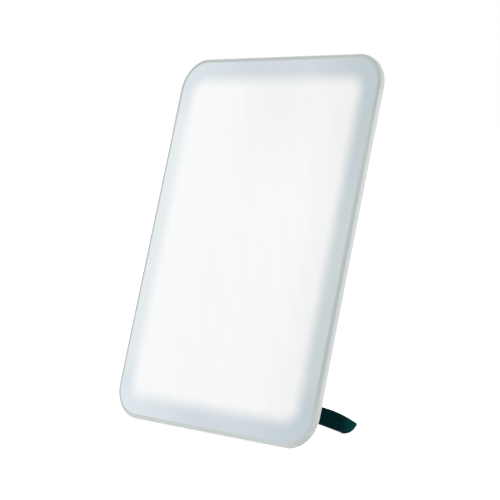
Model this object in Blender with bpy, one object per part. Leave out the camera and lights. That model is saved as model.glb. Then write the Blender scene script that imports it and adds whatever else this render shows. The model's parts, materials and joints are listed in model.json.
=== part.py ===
"""Light therapy lamp: an edge-lit panel that leans back on two legs, which fold into its back.

Metres, +Z up. The panel is modelled upright in its own frame and then leant back:
X runs across the panel (u), Z runs up it (v) and Y runs from its front face to its back (w).
The assembly's origin is on the table, under the middle of its bounding box.
"""
import math

import bmesh
import bpy
from mathutils import Matrix, Vector

# Panel
PANEL_WIDTH = 0.222
PANEL_HEIGHT = 0.315
PANEL_CORNER_RADIUS = 0.0270
LEAN = math.radians(16.65)

# Clearance left between pieces that touch
GAP = 0.0003
# How far a cutter runs past the face that it cuts
OVERRUN = 0.002

# Front cover
COVER_THICKNESS = 0.0020
COVER_EDGE_WIDTH = 0.0037
COVER_EDGE_DEPTH = 0.0017
COVER_RIM_DEPTH = 0.0019
COVER_LIP_THICKNESS = 0.0013
COVER_LIP_LENGTH = 0.0020

# Rear case
CASE_WALL = 0.0020
CASE_SIDE_DEPTH = 0.0043
CASE_EDGE_RADIUS = 0.0030
CASE_BACK_EDGE_RADIUS = 0.0050
# How far the slope behind the case's edge faces round from the side towards the back
CASE_SLOPE = math.radians(45)

# Mid frame and the optical stack
FRAME_LIP_THICKNESS = 0.0012
FRAME_SIDE_BORDER = 0.0180
FRAME_END_BORDER = 0.0200
FRAME_OPENING_RADIUS = 0.0040
FRAME_POCKET_RADIUS = 0.0010
SHEET_OVERLAP = 0.0035
DIFFUSER_THICKNESS = 0.0005
PRISM_THICKNESS = 0.0002
GUIDE_THICKNESS = 0.0030
REFLECTOR_THICKNESS = 0.0003
BACKPLATE_THICKNESS = 0.0008
BACKPLATE_EASE = 0.0005

# LED strips
STRIP_THICKNESS = 0.0010
LED_DEPTH = 0.0012
LED_LENGTH = 0.0030
LED_HEIGHT = 0.0022
LED_COUNT = 32

# LED leads
LEAD_RADIUS = 0.0006
LEAD_NOTCH_WIDTH = 0.0060
LEAD_NOTCH_DEPTH = 0.0024
LEAD_RUN_OFFSET = 0.0010

# Legs
LEG_THICKNESS = 0.0080
LEG_SETBACK = 0.0024
LEG_EDGE_RADIUS = 0.0014
LEG_TIP_FROM_CENTRE = 0.0059
LEG_ROOT_HEIGHT = 0.0110
LEG_TOP_FALL = 0.0058
LEG_SHOULDER_REACH = 0.0257
LEG_UNDERSIDE_FALL = 0.0050
LEG_TOE_RADIUS = 0.0124
LEG_TIP_RADIUS = 0.0017
HINGE_INSET = 0.0325
PIN_RADIUS = 0.0015
WASHER_RADIUS = 0.0036
WASHER_THICKNESS = 0.0009

# Wells that the legs fold into
WELL_WALL = 0.0016
WELL_FLOOR = 0.0012
WELL_CLEARANCE = 0.0008
WELL_FLANGE_WIDTH = 0.0020
WELL_FLANGE_THICKNESS = 0.0008

# Rubber on the table
BUMPER_LENGTH = 0.0300
BUMPER_WIDTH = 0.0036
BUMPER_CORNER_RADIUS = 0.0012
BUMPER_HEIGHT = 0.0017
BUMPER_PROUD = 0.0006
BUMPER_SIDE_INSET = 0.0430
PAD_LENGTH = 0.0070
PAD_WIDTH = 0.0044
PAD_CORNER_RADIUS = 0.0016
PAD_HEIGHT = 0.0022
PAD_PROUD = 0.00015

# Driver board and what is on it
BOARD_WIDTH = 0.0840
BOARD_HEIGHT = 0.0600
BOARD_THICKNESS = 0.0016
BOARD_SPACE = 0.0064
BOARD_RISE = 0.0060
BOARD_POST_RADIUS = 0.0030
BOARD_POST_INSET = 0.0045
INDUCTOR_RADIUS = 0.0050
INDUCTOR_HEIGHT = 0.0048
CAPACITOR_RADIUS = 0.0032
CAPACITOR_HEIGHT = 0.0056
CAPACITOR_SPACING = 0.0080
CHIP_WIDTH = 0.0060
CHIP_LENGTH = 0.0050
CHIP_HEIGHT = 0.0015
CONNECTOR_WIDTH = 0.0060
CONNECTOR_LENGTH = 0.0050
CONNECTOR_HEIGHT = 0.0042
CONNECTOR_INSET = 0.0050

# DC inlet
JACK_SIZE = 0.0094
JACK_SETBACK = 0.0002
JACK_BORE_RADIUS = 0.0031
JACK_BORE_DEPTH = 0.0064
JACK_PIN_RADIUS = 0.0010
JACK_PIN_LENGTH = 0.0052
JACK_RISE = 0.0090

# Power button and its switch
BUTTON_RADIUS = 0.0065
BUTTON_PROUD = 0.0010
BUTTON_EDGE_RADIUS = 0.0006
BUTTON_FLANGE_WIDTH = 0.0015
BUTTON_FLANGE_THICKNESS = 0.0010
BUTTON_NUB_RADIUS = 0.0022
BUTTON_TRAVEL = 0.0007
BUTTON_FALL = 0.0130
SWITCH_SIZE = 0.0060
SWITCH_HEIGHT = 0.0035
PLUNGER_RADIUS = 0.0017
PLUNGER_LENGTH = 0.0022

# Screws
CASE_SCREW_RADIUS = 0.0014
CASE_SCREW_HEAD_RADIUS = 0.0026
CASE_SCREW_HEAD_HEIGHT = 0.0010
CASE_SCREW_LENGTH = 0.0080
CASE_SCREW_SIDE_INSET = 0.0265
CASE_SCREW_END_INSET = 0.0320
CASE_SCREW_RISE = 0.0170
STANDOFF_RADIUS = 0.0029
BOARD_SCREW_RADIUS = 0.0012
BOARD_SCREW_HEAD_RADIUS = 0.0022
BOARD_SCREW_HEAD_HEIGHT = 0.0010
BOARD_SCREW_LENGTH = 0.0060
PLATE_SCREW_RADIUS = 0.0008
PLATE_SCREW_HEAD_RADIUS = 0.0015
PLATE_SCREW_HEAD_HEIGHT = 0.0007
PLATE_SCREW_LENGTH = 0.0045
SCREW_HOLE_CLEARANCE = 0.0003

# How finely round shapes are faceted
CORNER_SEGMENTS = 8
EDGE_SEGMENTS = 5
SMALL_EDGE_SEGMENTS = 3
ROUND_SIDES = 24
SMALL_SIDES = 12

# Planes of the stack, from the front face to the back
COVER_BACK = COVER_THICKNESS
FRAME_FRONT = COVER_BACK + GAP
FRAME_LIP_BACK = FRAME_FRONT + FRAME_LIP_THICKNESS
DIFFUSER_FRONT = FRAME_LIP_BACK + GAP
DIFFUSER_BACK = DIFFUSER_FRONT + DIFFUSER_THICKNESS
PRISM_FRONT = DIFFUSER_BACK + GAP
PRISM_BACK = PRISM_FRONT + PRISM_THICKNESS
GUIDE_FRONT = PRISM_BACK + GAP
GUIDE_BACK = GUIDE_FRONT + GUIDE_THICKNESS
REFLECTOR_FRONT = GUIDE_BACK + GAP
REFLECTOR_BACK = REFLECTOR_FRONT + REFLECTOR_THICKNESS
FRAME_BACK = REFLECTOR_BACK
BACKPLATE_FRONT = FRAME_BACK + GAP
BACKPLATE_BACK = BACKPLATE_FRONT + BACKPLATE_THICKNESS
WELL_FRONT = BACKPLATE_BACK + GAP
WELL_BED = WELL_FRONT + WELL_FLOOR
HINGE_DEPTH = WELL_BED + GAP + LEG_THICKNESS / 2
BACK = HINGE_DEPTH + LEG_THICKNESS / 2 + LEG_SETBACK
CASE_INSIDE = BACK - CASE_WALL
CASE_FRONT = COVER_RIM_DEPTH + GAP

# The case's edge, from which the slope runs back to the rounding round the flat back
EDGE_END = CASE_SIDE_DEPTH + CASE_EDGE_RADIUS * math.sin(CASE_SLOPE)
EDGE_END_INSET = CASE_EDGE_RADIUS * (1 - math.cos(CASE_SLOPE))
SLOPE_END = BACK - CASE_BACK_EDGE_RADIUS * (1 - math.sin(CASE_SLOPE))
SLOPE_END_INSET = EDGE_END_INSET + (SLOPE_END - EDGE_END) * math.tan(CASE_SLOPE)
BACK_FLAT_INSET = SLOPE_END_INSET + CASE_BACK_EDGE_RADIUS * math.cos(CASE_SLOPE)


def room_inset(depth):
    """How far in a piece's edge lies, at a depth, to clear the inside of the case's slope by the gap."""
    slope_inset = EDGE_END_INSET + (depth - EDGE_END) * math.tan(CASE_SLOPE)
    return slope_inset + (CASE_WALL + GAP) / math.cos(CASE_SLOPE)


# Half widths and heights of the stack
HALF_WIDTH = PANEL_WIDTH / 2
LIP_INSET = CASE_WALL + GAP
FRAME_INSET = max(LIP_INSET + COVER_LIP_THICKNESS + GAP, room_inset(FRAME_BACK))
BACKPLATE_INSET = room_inset(BACKPLATE_BACK) + BACKPLATE_EASE
SHEET_HALF_WIDTH = HALF_WIDTH - FRAME_SIDE_BORDER + SHEET_OVERLAP
SHEET_BASE = FRAME_END_BORDER - SHEET_OVERLAP
SHEET_TOP = PANEL_HEIGHT - SHEET_BASE
POCKET_HALF_WIDTH = SHEET_HALF_WIDTH + GAP
STRIP_OUTSIDE = POCKET_HALF_WIDTH - GAP
STRIP_INSIDE = STRIP_OUTSIDE - STRIP_THICKNESS
LED_INSIDE = STRIP_INSIDE - LED_DEPTH
GUIDE_HALF_WIDTH = LED_INSIDE - GAP

# The table, measured in the leant panel's upright frame from its lower front edge
CASE_LOWEST = (CASE_EDGE_RADIUS * math.cos(LEAN) - CASE_SIDE_DEPTH * math.sin(LEAN)) - CASE_EDGE_RADIUS
TABLE = CASE_LOWEST - BUMPER_PROUD
BUMPER_PLACE = CASE_EDGE_RADIUS * math.sin(LEAN) + CASE_SIDE_DEPTH * math.cos(LEAN)
BUMPER_OFFSET = HALF_WIDTH - BUMPER_SIDE_INSET

# Legs, as they stand open behind the panel
HINGE_OFFSET = HALF_WIDTH - HINGE_INSET
LEG_REACH = HINGE_OFFSET - LEG_TIP_FROM_CENTRE
TIP_DEPTH = HINGE_DEPTH + LEG_REACH
# How far the rings go round the leg's root and tip before a small flat closes each
ROOT_SWEEP = math.radians(84)
TIP_SWEEP = math.radians(72)
# The toe's arc ends where it comes within the tip's thickness of the upper edge
TOE_END_DROP = LEG_TOE_RADIUS - LEG_UNDERSIDE_FALL - LEG_ROOT_HEIGHT + LEG_TOP_FALL + 2 * LEG_TIP_RADIUS
TOE_CHORD = math.sqrt(LEG_TOE_RADIUS ** 2 - TOE_END_DROP ** 2)
TOE_END = TIP_DEPTH - LEG_TIP_RADIUS
TOE_DEPTH = TOE_END - TOE_CHORD
TOE_RISE = TABLE + PAD_PROUD + LEG_TOE_RADIUS
TOE_HEIGHT = (TOE_RISE + TOE_DEPTH * math.sin(LEAN)) / math.cos(LEAN)
TOE_PLACE = TOE_HEIGHT * math.sin(LEAN) + TOE_DEPTH * math.cos(LEAN)
TOE_BASE = TOE_HEIGHT - LEG_TOE_RADIUS
ROOT_BASE = TOE_BASE + LEG_UNDERSIDE_FALL
ROOT_TOP = ROOT_BASE + LEG_ROOT_HEIGHT
TIP_TOP = ROOT_TOP - LEG_TOP_FALL
BORE_RADIUS = PIN_RADIUS + GAP

# Wells
PAD_LOWEST = TABLE * math.cos(LEAN) + (TOE_PLACE - PAD_LENGTH / 2) * math.sin(LEAN)
WELL_BASE = PAD_LOWEST - WELL_CLEARANCE
WELL_TOP = ROOT_TOP + GAP + WASHER_THICKNESS + GAP
WELL_OUTSIDE = HINGE_OFFSET + LEG_THICKNESS / 2 + GAP
WELL_INSIDE = LEG_TIP_FROM_CENTRE - WELL_CLEARANCE
WELL_BOTTOM = WELL_BASE - WELL_WALL
WELL_CEILING = WELL_TOP + WELL_WALL

# Driver board
BOARD_REAR = CASE_INSIDE - BOARD_SPACE
BOARD_FRONT = BOARD_REAR - BOARD_THICKNESS
BOARD_BASE = WELL_CEILING + WELL_FLANGE_WIDTH + BOARD_RISE
BOARD_TOP = BOARD_BASE + BOARD_HEIGHT
PART_SEAT = BOARD_REAR + GAP
JACK_HEIGHT = BOARD_BASE + JACK_RISE
BUTTON_HEIGHT = BOARD_TOP - BUTTON_FALL
CONNECTOR_OFFSET = BOARD_WIDTH / 2 - CONNECTOR_INSET
LEAD_HEIGHT = BOARD_BASE + BOARD_HEIGHT / 2

# Button stack, from the rear wall inwards
FLANGE_BACK = CASE_INSIDE - GAP
FLANGE_FRONT = FLANGE_BACK - BUTTON_FLANGE_THICKNESS
SWITCH_BACK = PART_SEAT + SWITCH_HEIGHT
NUB_FRONT = SWITCH_BACK + BUTTON_TRAVEL + GAP
PLUNGER_BACK = NUB_FRONT - GAP
PLUNGER_FRONT = PLUNGER_BACK - PLUNGER_LENGTH
PLUNGER_WELL = PLUNGER_FRONT - BUTTON_TRAVEL - GAP

# Materials: linear colour, roughness, metallic
FINISHES = {
    "lit_cover": ((0.90, 0.93, 0.96), 0.25, 0.0),
    "case_plastic": ((0.62, 0.66, 0.65), 0.45, 0.0),
    "leg_plastic": ((0.004, 0.017, 0.020), 0.40, 0.0),
    "rubber": ((0.02, 0.02, 0.022), 0.80, 0.0),
    "clear_silicone": ((0.70, 0.74, 0.75), 0.40, 0.0),
    "frame_plastic": ((0.85, 0.85, 0.85), 0.60, 0.0),
    "optical_film": ((0.88, 0.90, 0.92), 0.30, 0.0),
    "light_guide": ((0.80, 0.88, 0.90), 0.10, 0.0),
    "aluminium": ((0.70, 0.71, 0.72), 0.35, 1.0),
    "strip_board": ((0.85, 0.85, 0.82), 0.50, 0.0),
    "wire_sleeve": ((0.65, 0.05, 0.04), 0.50, 0.0),
    "circuit_board": ((0.02, 0.16, 0.07), 0.50, 0.0),
    "ferrite": ((0.05, 0.05, 0.05), 0.60, 0.0),
    "can_sleeve": ((0.03, 0.04, 0.10), 0.35, 0.0),
    "black_resin": ((0.02, 0.02, 0.02), 0.50, 0.0),
    "connector_nylon": ((0.80, 0.78, 0.68), 0.50, 0.0),
    "steel": ((0.55, 0.55, 0.56), 0.30, 1.0),
    "brass": ((0.75, 0.55, 0.22), 0.30, 1.0),
    "button_plastic": ((0.55, 0.59, 0.58), 0.40, 0.0),
}


def clear_scene():
    for item in list(bpy.data.objects):
        bpy.data.objects.remove(item, do_unlink=True)


def finish_for(name):
    """The material of that name, made once."""
    material = bpy.data.materials.get(name)
    if material is None:
        colour, roughness, metallic = FINISHES[name]
        material = bpy.data.materials.new(name)
        material.use_nodes = True
        shader = material.node_tree.nodes["Principled BSDF"]
        shader.inputs["Base Color"].default_value = (*colour, 1.0)
        shader.inputs["Roughness"].default_value = roughness
        shader.inputs["Metallic"].default_value = metallic
        material.diffuse_color = (*colour, 1.0)
    return material


def add_stack(bm, rings):
    """Add one closed body whose skin runs through the rings of points in turn."""
    loops = [[bm.verts.new(point) for point in ring] for ring in rings]
    for near, far in zip(loops, loops[1:]):
        count = len(near)
        for index in range(count):
            after = (index + 1) % count
            bm.faces.new((near[index], near[after], far[after], far[index]))
    bm.faces.new(loops[0])
    bm.faces.new(loops[-1][::-1])


def make(name, finish, bm, origin=(0.0, 0.0, 0.0)):
    """Turn the bodies in bm into the named object, with its origin at the given point."""
    bmesh.ops.recalc_face_normals(bm, faces=bm.faces)
    bmesh.ops.translate(bm, verts=bm.verts, vec=-Vector(origin))
    mesh = bpy.data.meshes.new(name)
    bm.to_mesh(mesh)
    bm.free()
    mesh.materials.append(finish_for(finish))
    piece = bpy.data.objects.new(name, mesh)
    piece.location = origin
    bpy.context.collection.objects.link(piece)
    return piece


def cutter(bm):
    """An unnamed solid for a Boolean."""
    return make("cutter", "steel", bm)


def combine(piece, tool, operation):
    """Apply one Boolean to a piece and remove the tool."""
    step = piece.modifiers.new("combine", "BOOLEAN")
    step.operation = operation
    step.solver = "EXACT"
    step.object = tool
    bpy.context.view_layer.update()
    evaluated = piece.evaluated_get(bpy.context.evaluated_depsgraph_get())
    mesh = bpy.data.meshes.new_from_object(evaluated)
    finish = piece.data.materials[0]
    piece.modifiers.clear()
    piece.data = mesh
    mesh.materials.clear()
    mesh.materials.append(finish)
    bpy.data.objects.remove(tool, do_unlink=True)


def cut(piece, bm):
    combine(piece, cutter(bm), "DIFFERENCE")


def smooth(piece, angle=math.radians(35)):
    piece.data.shade_smooth()
    piece.data.set_sharp_from_angle(angle=angle)


def outline(left, right, bottom, top, radius, segments=CORNER_SEGMENTS):
    """Corners of a rounded rectangle, as (across, up) pairs, anticlockwise from the lower right."""
    centres = (
        (right - radius, bottom + radius, -math.pi / 2),
        (right - radius, top - radius, 0.0),
        (left + radius, top - radius, math.pi / 2),
        (left + radius, bottom + radius, math.pi),
    )
    points = []
    for across, up, start in centres:
        for step in range(segments + 1):
            angle = start + math.pi / 2 * step / segments
            points.append((across + radius * math.cos(angle), up + radius * math.sin(angle)))
    return points


def panel_ring(depth, inset):
    """The panel's outline at a depth, drawn in by an inset."""
    points = outline(
        -HALF_WIDTH + inset,
        HALF_WIDTH - inset,
        inset,
        PANEL_HEIGHT - inset,
        PANEL_CORNER_RADIUS - inset,
    )
    return [(across, depth, up) for across, up in points]


def add_plate(bm, left, right, bottom, top, front, back, radius, segments=CORNER_SEGMENTS):
    """Add a rounded rectangular plate that faces along the panel's depth."""
    points = outline(left, right, bottom, top, radius, segments)
    add_stack(bm, [[(across, depth, up) for across, up in points] for depth in (front, back)])


def add_box(bm, left, right, bottom, top, front, back):
    corners = ((left, bottom), (right, bottom), (right, top), (left, top))
    add_stack(bm, [[(across, depth, up) for across, up in corners] for depth in (front, back)])


def circle(radius, sides):
    """Points round a circle whose flats lie square to the axes."""
    step = 2 * math.pi / sides
    return [(radius * math.cos((i + 0.5) * step), radius * math.sin((i + 0.5) * step)) for i in range(sides)]


def add_disc(bm, across, up, profile, sides=ROUND_SIDES):
    """Add a turned body along the panel's depth, from (depth, radius) pairs."""
    rings = []
    for depth, radius in profile:
        rings.append([(across + x, depth, up + z) for x, z in circle(radius, sides)])
    add_stack(bm, rings)


def add_post(bm, across, depth, bottom, top, radius, sides=ROUND_SIDES):
    """Add a round bar that runs up the panel."""
    add_stack(bm, [[(across + x, depth + y, up) for x, y in circle(radius, sides)] for up in (bottom, top)])


def span(side, inner, outer):
    """Left and right limits of what lies between two distances from the centre, on one side."""
    return (inner, outer) if side > 0 else (-outer, -inner)


def side_name(stem, side):
    return stem + ("_right" if side > 0 else "_left")


def round_edge(depth, inset, reach, width, first, last):
    """(depth, inset) pairs round part of an ellipse about a centre, from angle first to last, 0 facing out."""
    pairs = []
    for step in range(EDGE_SEGMENTS + 1):
        angle = first + (last - first) * step / EDGE_SEGMENTS
        pairs.append((depth + reach * math.sin(angle), inset - width * math.cos(angle)))
    return pairs


def build_front_cover():
    front_edge = round_edge(COVER_EDGE_DEPTH, COVER_EDGE_WIDTH, COVER_EDGE_DEPTH, COVER_EDGE_WIDTH,
                            -math.pi / 2, 0.0)
    bm = bmesh.new()
    lip_end = COVER_RIM_DEPTH + COVER_LIP_LENGTH
    profile = front_edge + [(COVER_RIM_DEPTH, 0.0), (COVER_RIM_DEPTH, LIP_INSET), (lip_end, LIP_INSET)]
    add_stack(bm, [panel_ring(depth, inset) for depth, inset in profile])
    cover = make("front_cover", "lit_cover", bm)
    hollow = bmesh.new()
    inset = LIP_INSET + COVER_LIP_THICKNESS
    add_stack(hollow, [panel_ring(COVER_BACK, inset), panel_ring(lip_end + OVERRUN, inset)])
    cut(cover, hollow)
    smooth(cover)


def case_profile(offset):
    """(depth, inset) pairs of the case's edge, slope and back edge, moved inwards by an offset."""
    edge = CASE_EDGE_RADIUS - offset
    back_edge = CASE_BACK_EDGE_RADIUS - offset
    pairs = round_edge(CASE_SIDE_DEPTH, CASE_EDGE_RADIUS, edge, edge, 0.0, CASE_SLOPE)
    return pairs + round_edge(BACK - CASE_BACK_EDGE_RADIUS, BACK_FLAT_INSET, back_edge, back_edge,
                              CASE_SLOPE, math.pi / 2)


def case_solid():
    """The case's outer form, filled."""
    bm = bmesh.new()
    rings = [panel_ring(CASE_FRONT, 0.0)]
    rings += [panel_ring(depth, inset) for depth, inset in case_profile(0.0)]
    add_stack(bm, rings)
    return bm


def case_screw_places():
    low = WELL_CEILING + CASE_SCREW_RISE
    high = PANEL_HEIGHT - CASE_SCREW_END_INSET
    across = HALF_WIDTH - CASE_SCREW_SIDE_INSET
    return [(side * across, up) for up in (low, (low + high) / 2, high) for side in (-1, 1)]


def board_screw_places():
    across = BOARD_WIDTH / 2 - BOARD_POST_INSET
    heights = (BOARD_BASE + BOARD_POST_INSET, BOARD_TOP - BOARD_POST_INSET)
    return [(side * across, up) for up in heights for side in (-1, 1)]


def build_rear_case():
    case = make("rear_case", "case_plastic", case_solid())
    hollow = bmesh.new()
    rings = [panel_ring(CASE_FRONT - OVERRUN, CASE_WALL)]
    rings += [panel_ring(depth, inset) for depth, inset in case_profile(CASE_WALL)]
    add_stack(hollow, rings)
    inside = cutter(hollow)
    posts = bmesh.new()
    for across, up in board_screw_places():
        add_disc(posts, across, up, [(BOARD_REAR + GAP, BOARD_POST_RADIUS), (BACK, BOARD_POST_RADIUS)])
    combine(inside, cutter(posts), "DIFFERENCE")
    combine(case, inside, "DIFFERENCE")

    openings = bmesh.new()
    for side in (-1, 1):
        left, right = span(side, WELL_INSIDE - WELL_WALL - GAP, WELL_OUTSIDE + WELL_WALL + GAP)
        add_box(openings, left, right, WELL_BOTTOM - GAP, WELL_CEILING + GAP, WELL_FRONT, BACK + OVERRUN)
    half = JACK_SIZE / 2 + GAP
    low, high = JACK_HEIGHT - half, JACK_HEIGHT + half
    add_box(openings, -half, half, low, high, CASE_INSIDE - OVERRUN, BACK + OVERRUN)
    hole = BUTTON_RADIUS + GAP
    add_disc(openings, 0.0, BUTTON_HEIGHT, [(CASE_INSIDE - OVERRUN, hole), (BACK + OVERRUN, hole)])
    cut(case, openings)

    holes = bmesh.new()
    shank = CASE_SCREW_RADIUS + SCREW_HOLE_CLEARANCE
    head = CASE_SCREW_HEAD_RADIUS + SCREW_HOLE_CLEARANCE
    seat = BACK - CASE_SCREW_HEAD_HEIGHT - GAP
    counterbore = [(CASE_INSIDE - OVERRUN, shank), (seat, shank), (seat, head), (BACK + OVERRUN, head)]
    for across, up in case_screw_places():
        add_disc(holes, across, up, counterbore)
    thread = BOARD_SCREW_RADIUS + SCREW_HOLE_CLEARANCE
    depth = BOARD_FRONT + BOARD_SCREW_LENGTH + GAP
    for across, up in board_screw_places():
        add_disc(holes, across, up, [(BOARD_REAR - OVERRUN, thread), (depth, thread)], SMALL_SIDES)
    cut(case, holes)

    sockets = bmesh.new()
    for side in (-1, 1):
        add_ground_block(sockets, side * BUMPER_OFFSET, BUMPER_PLACE, BUMPER_LENGTH, BUMPER_WIDTH,
                         BUMPER_CORNER_RADIUS, TABLE - OVERRUN, TABLE + BUMPER_HEIGHT + GAP, GAP)
    cut(case, sockets)
    smooth(case)


def add_ground_block(bm, across, back, length, width, radius, bottom, top, margin=0.0):
    """Add a rounded block that stands square to the table, in the leant panel's frame."""
    points = outline(
        across - length / 2 - margin,
        across + length / 2 + margin,
        back - width / 2 - margin,
        back + width / 2 + margin,
        radius + margin,
        EDGE_SEGMENTS,
    )
    lean_back = Matrix.Rotation(LEAN, 3, "X")
    rings = []
    for height in (bottom, top):
        rings.append([lean_back @ Vector((x, y, height)) for x, y in points])
    add_stack(bm, rings)


def build_bumpers():
    for side in (-1, 1):
        bm = bmesh.new()
        add_ground_block(bm, side * BUMPER_OFFSET, BUMPER_PLACE, BUMPER_LENGTH, BUMPER_WIDTH,
                         BUMPER_CORNER_RADIUS, TABLE, TABLE + BUMPER_HEIGHT)
        smooth(make(side_name("bumper", side), "clear_silicone", bm))


def build_mid_frame():
    bm = bmesh.new()
    add_stack(bm, [panel_ring(FRAME_FRONT, FRAME_INSET), panel_ring(FRAME_BACK, FRAME_INSET)])
    frame = make("mid_frame", "frame_plastic", bm)
    window = bmesh.new()
    add_plate(
        window,
        -HALF_WIDTH + FRAME_SIDE_BORDER,
        HALF_WIDTH - FRAME_SIDE_BORDER,
        FRAME_END_BORDER,
        PANEL_HEIGHT - FRAME_END_BORDER,
        FRAME_FRONT - OVERRUN,
        FRAME_BACK + OVERRUN,
        FRAME_OPENING_RADIUS,
    )
    cut(frame, window)
    pocket = bmesh.new()
    add_plate(
        pocket,
        -POCKET_HALF_WIDTH,
        POCKET_HALF_WIDTH,
        SHEET_BASE - GAP,
        SHEET_TOP + GAP,
        FRAME_LIP_BACK,
        FRAME_BACK + OVERRUN,
        FRAME_POCKET_RADIUS,
        EDGE_SEGMENTS,
    )
    cut(frame, pocket)
    cut(frame, lead_notches(GUIDE_FRONT, FRAME_BACK + OVERRUN))
    holes = bmesh.new()
    hole = PLATE_SCREW_RADIUS + SCREW_HOLE_CLEARANCE
    depth = BACKPLATE_BACK - PLATE_SCREW_LENGTH
    for across, up in plate_screw_places():
        add_disc(holes, across, up, [(depth, hole), (FRAME_BACK + OVERRUN, hole)], SMALL_SIDES)
    cut(frame, holes)
    smooth(frame)


def lead_notches(front, back):
    """Notches beside both strips, where their leads go through to the back."""
    bm = bmesh.new()
    for side in (-1, 1):
        left, right = span(side, STRIP_OUTSIDE - LEAD_NOTCH_DEPTH / 2, STRIP_OUTSIDE + LEAD_NOTCH_DEPTH)
        half = LEAD_NOTCH_WIDTH / 2
        add_box(bm, left, right, LEAD_HEIGHT - half, LEAD_HEIGHT + half, front, back)
    return bm


def build_sheet(name, finish, front, back, half_width):
    bm = bmesh.new()
    add_box(bm, -half_width, half_width, SHEET_BASE, SHEET_TOP, front, back)
    return make(name, finish, bm)


def build_optics():
    build_sheet("diffuser_sheet", "optical_film", DIFFUSER_FRONT, DIFFUSER_BACK, SHEET_HALF_WIDTH)
    build_sheet("prism_sheet", "optical_film", PRISM_FRONT, PRISM_BACK, SHEET_HALF_WIDTH)
    build_sheet("light_guide", "light_guide", GUIDE_FRONT, GUIDE_BACK, GUIDE_HALF_WIDTH)
    build_sheet("reflector_sheet", "optical_film", REFLECTOR_FRONT, REFLECTOR_BACK, SHEET_HALF_WIDTH)


def plate_screw_places():
    """Screws down both sides, in the frame's rail between the pocket and its outer face."""
    rail = (POCKET_HALF_WIDTH + HALF_WIDTH - BACKPLATE_INSET) / 2
    low = BOARD_BASE
    high = PANEL_HEIGHT - CASE_SCREW_END_INSET
    return [(side * rail, up) for up in (low, high) for side in (-1, 1)]


def make_set(stem, finish, places, profile):
    """One small turned piece at each place, numbered from 1."""
    pieces = []
    for number, (across, up) in enumerate(places, 1):
        bm = bmesh.new()
        add_disc(bm, across, up, profile, SMALL_SIDES)
        pieces.append(make(f"{stem}_{number}", finish, bm))
    return pieces


def build_backplate():
    bm = bmesh.new()
    add_stack(bm, [panel_ring(BACKPLATE_FRONT, BACKPLATE_INSET), panel_ring(BACKPLATE_BACK, BACKPLATE_INSET)])
    plate = make("backplate", "aluminium", bm)
    cut(plate, lead_notches(BACKPLATE_FRONT - OVERRUN, BACKPLATE_BACK + OVERRUN))
    holes = bmesh.new()
    hole = PLATE_SCREW_RADIUS + SCREW_HOLE_CLEARANCE
    through = [(BACKPLATE_FRONT - OVERRUN, hole), (BACKPLATE_BACK + OVERRUN, hole)]
    for across, up in plate_screw_places():
        add_disc(holes, across, up, through, SMALL_SIDES)
    cut(plate, holes)
    seat = BACKPLATE_BACK + GAP
    tip = BACKPLATE_BACK - PLATE_SCREW_LENGTH + GAP
    top = seat + PLATE_SCREW_HEAD_HEIGHT
    profile = [(tip, PLATE_SCREW_RADIUS), (seat, PLATE_SCREW_RADIUS)]
    profile += [(seat, PLATE_SCREW_HEAD_RADIUS), (top, PLATE_SCREW_HEAD_RADIUS)]
    make_set("backplate_screw", "steel", plate_screw_places(), profile)


def build_strips():
    length = SHEET_TOP - SHEET_BASE
    pitch = length / LED_COUNT
    middle = (GUIDE_FRONT + GUIDE_BACK) / 2
    for side in (-1, 1):
        board = bmesh.new()
        left, right = span(side, STRIP_INSIDE, STRIP_OUTSIDE)
        add_box(board, left, right, SHEET_BASE, SHEET_TOP, GUIDE_FRONT, GUIDE_BACK)
        strip = make(side_name("led_strip", side), "strip_board", board)
        leds = bmesh.new()
        left, right = span(side, LED_INSIDE, STRIP_INSIDE + STRIP_THICKNESS / 2)
        for index in range(LED_COUNT):
            centre = SHEET_BASE + (index + 0.5) * pitch
            add_box(leds, left, right, centre - LED_LENGTH / 2, centre + LED_LENGTH / 2,
                    middle - LED_HEIGHT / 2, middle + LED_HEIGHT / 2)
        combine(strip, cutter(leds), "UNION")


def smooth_route(points, steps):
    """Points on a smooth curve through the given ones."""
    ends = [points[0] * 2 - points[1]] + points + [points[-1] * 2 - points[-2]]
    route = []
    for before, start, end, after in zip(ends, ends[1:], ends[2:], ends[3:]):
        for step in range(steps):
            share = step / steps
            route.append(0.5 * (2 * start + (end - before) * share
                                + (2 * before - 5 * start + 4 * end - after) * share ** 2
                                + (3 * start - before - 3 * end + after) * share ** 3))
    route.append(points[-1])
    return route


def build_leads():
    """One lead from each strip, through its notch and across the backplate to its connector."""
    away = STRIP_OUTSIDE + GAP + LEAD_RADIUS
    bed = BACKPLATE_BACK + GAP + LEAD_RADIUS + LEAD_RUN_OFFSET
    end = CONNECTOR_OFFSET + CONNECTOR_WIDTH / 2 + GAP
    plug = PART_SEAT + CONNECTOR_HEIGHT / 2
    run_share, rise_share = 0.85, 0.25
    for side in (-1, 1):
        places = (
            (away, (GUIDE_FRONT + GUIDE_BACK) / 2),
            (away, BACKPLATE_BACK - BACKPLATE_THICKNESS),
            (away - LEAD_RUN_OFFSET, bed - LEAD_RADIUS),
            (end + (away - end) * run_share, bed),
            (end + (away - end) * rise_share, bed),
            (end + LEAD_NOTCH_WIDTH, plug),
            (end, plug),
        )
        points = [Vector((side * across, depth, LEAD_HEIGHT)) for across, depth in places]
        route = smooth_route(points, 4)
        curve = bpy.data.curves.new(side_name("led_lead", side), "CURVE")
        curve.dimensions = "3D"
        curve.bevel_depth = LEAD_RADIUS
        curve.bevel_resolution = 1
        curve.use_fill_caps = True
        spline = curve.splines.new("POLY")
        spline.points.add(len(route) - 1)
        for point, place in zip(spline.points, route):
            point.co = (*place, 1.0)
        lead = bpy.data.objects.new(side_name("led_lead", side), curve)
        curve.materials.append(finish_for("wire_sleeve"))
        bpy.context.collection.objects.link(lead)


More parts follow.
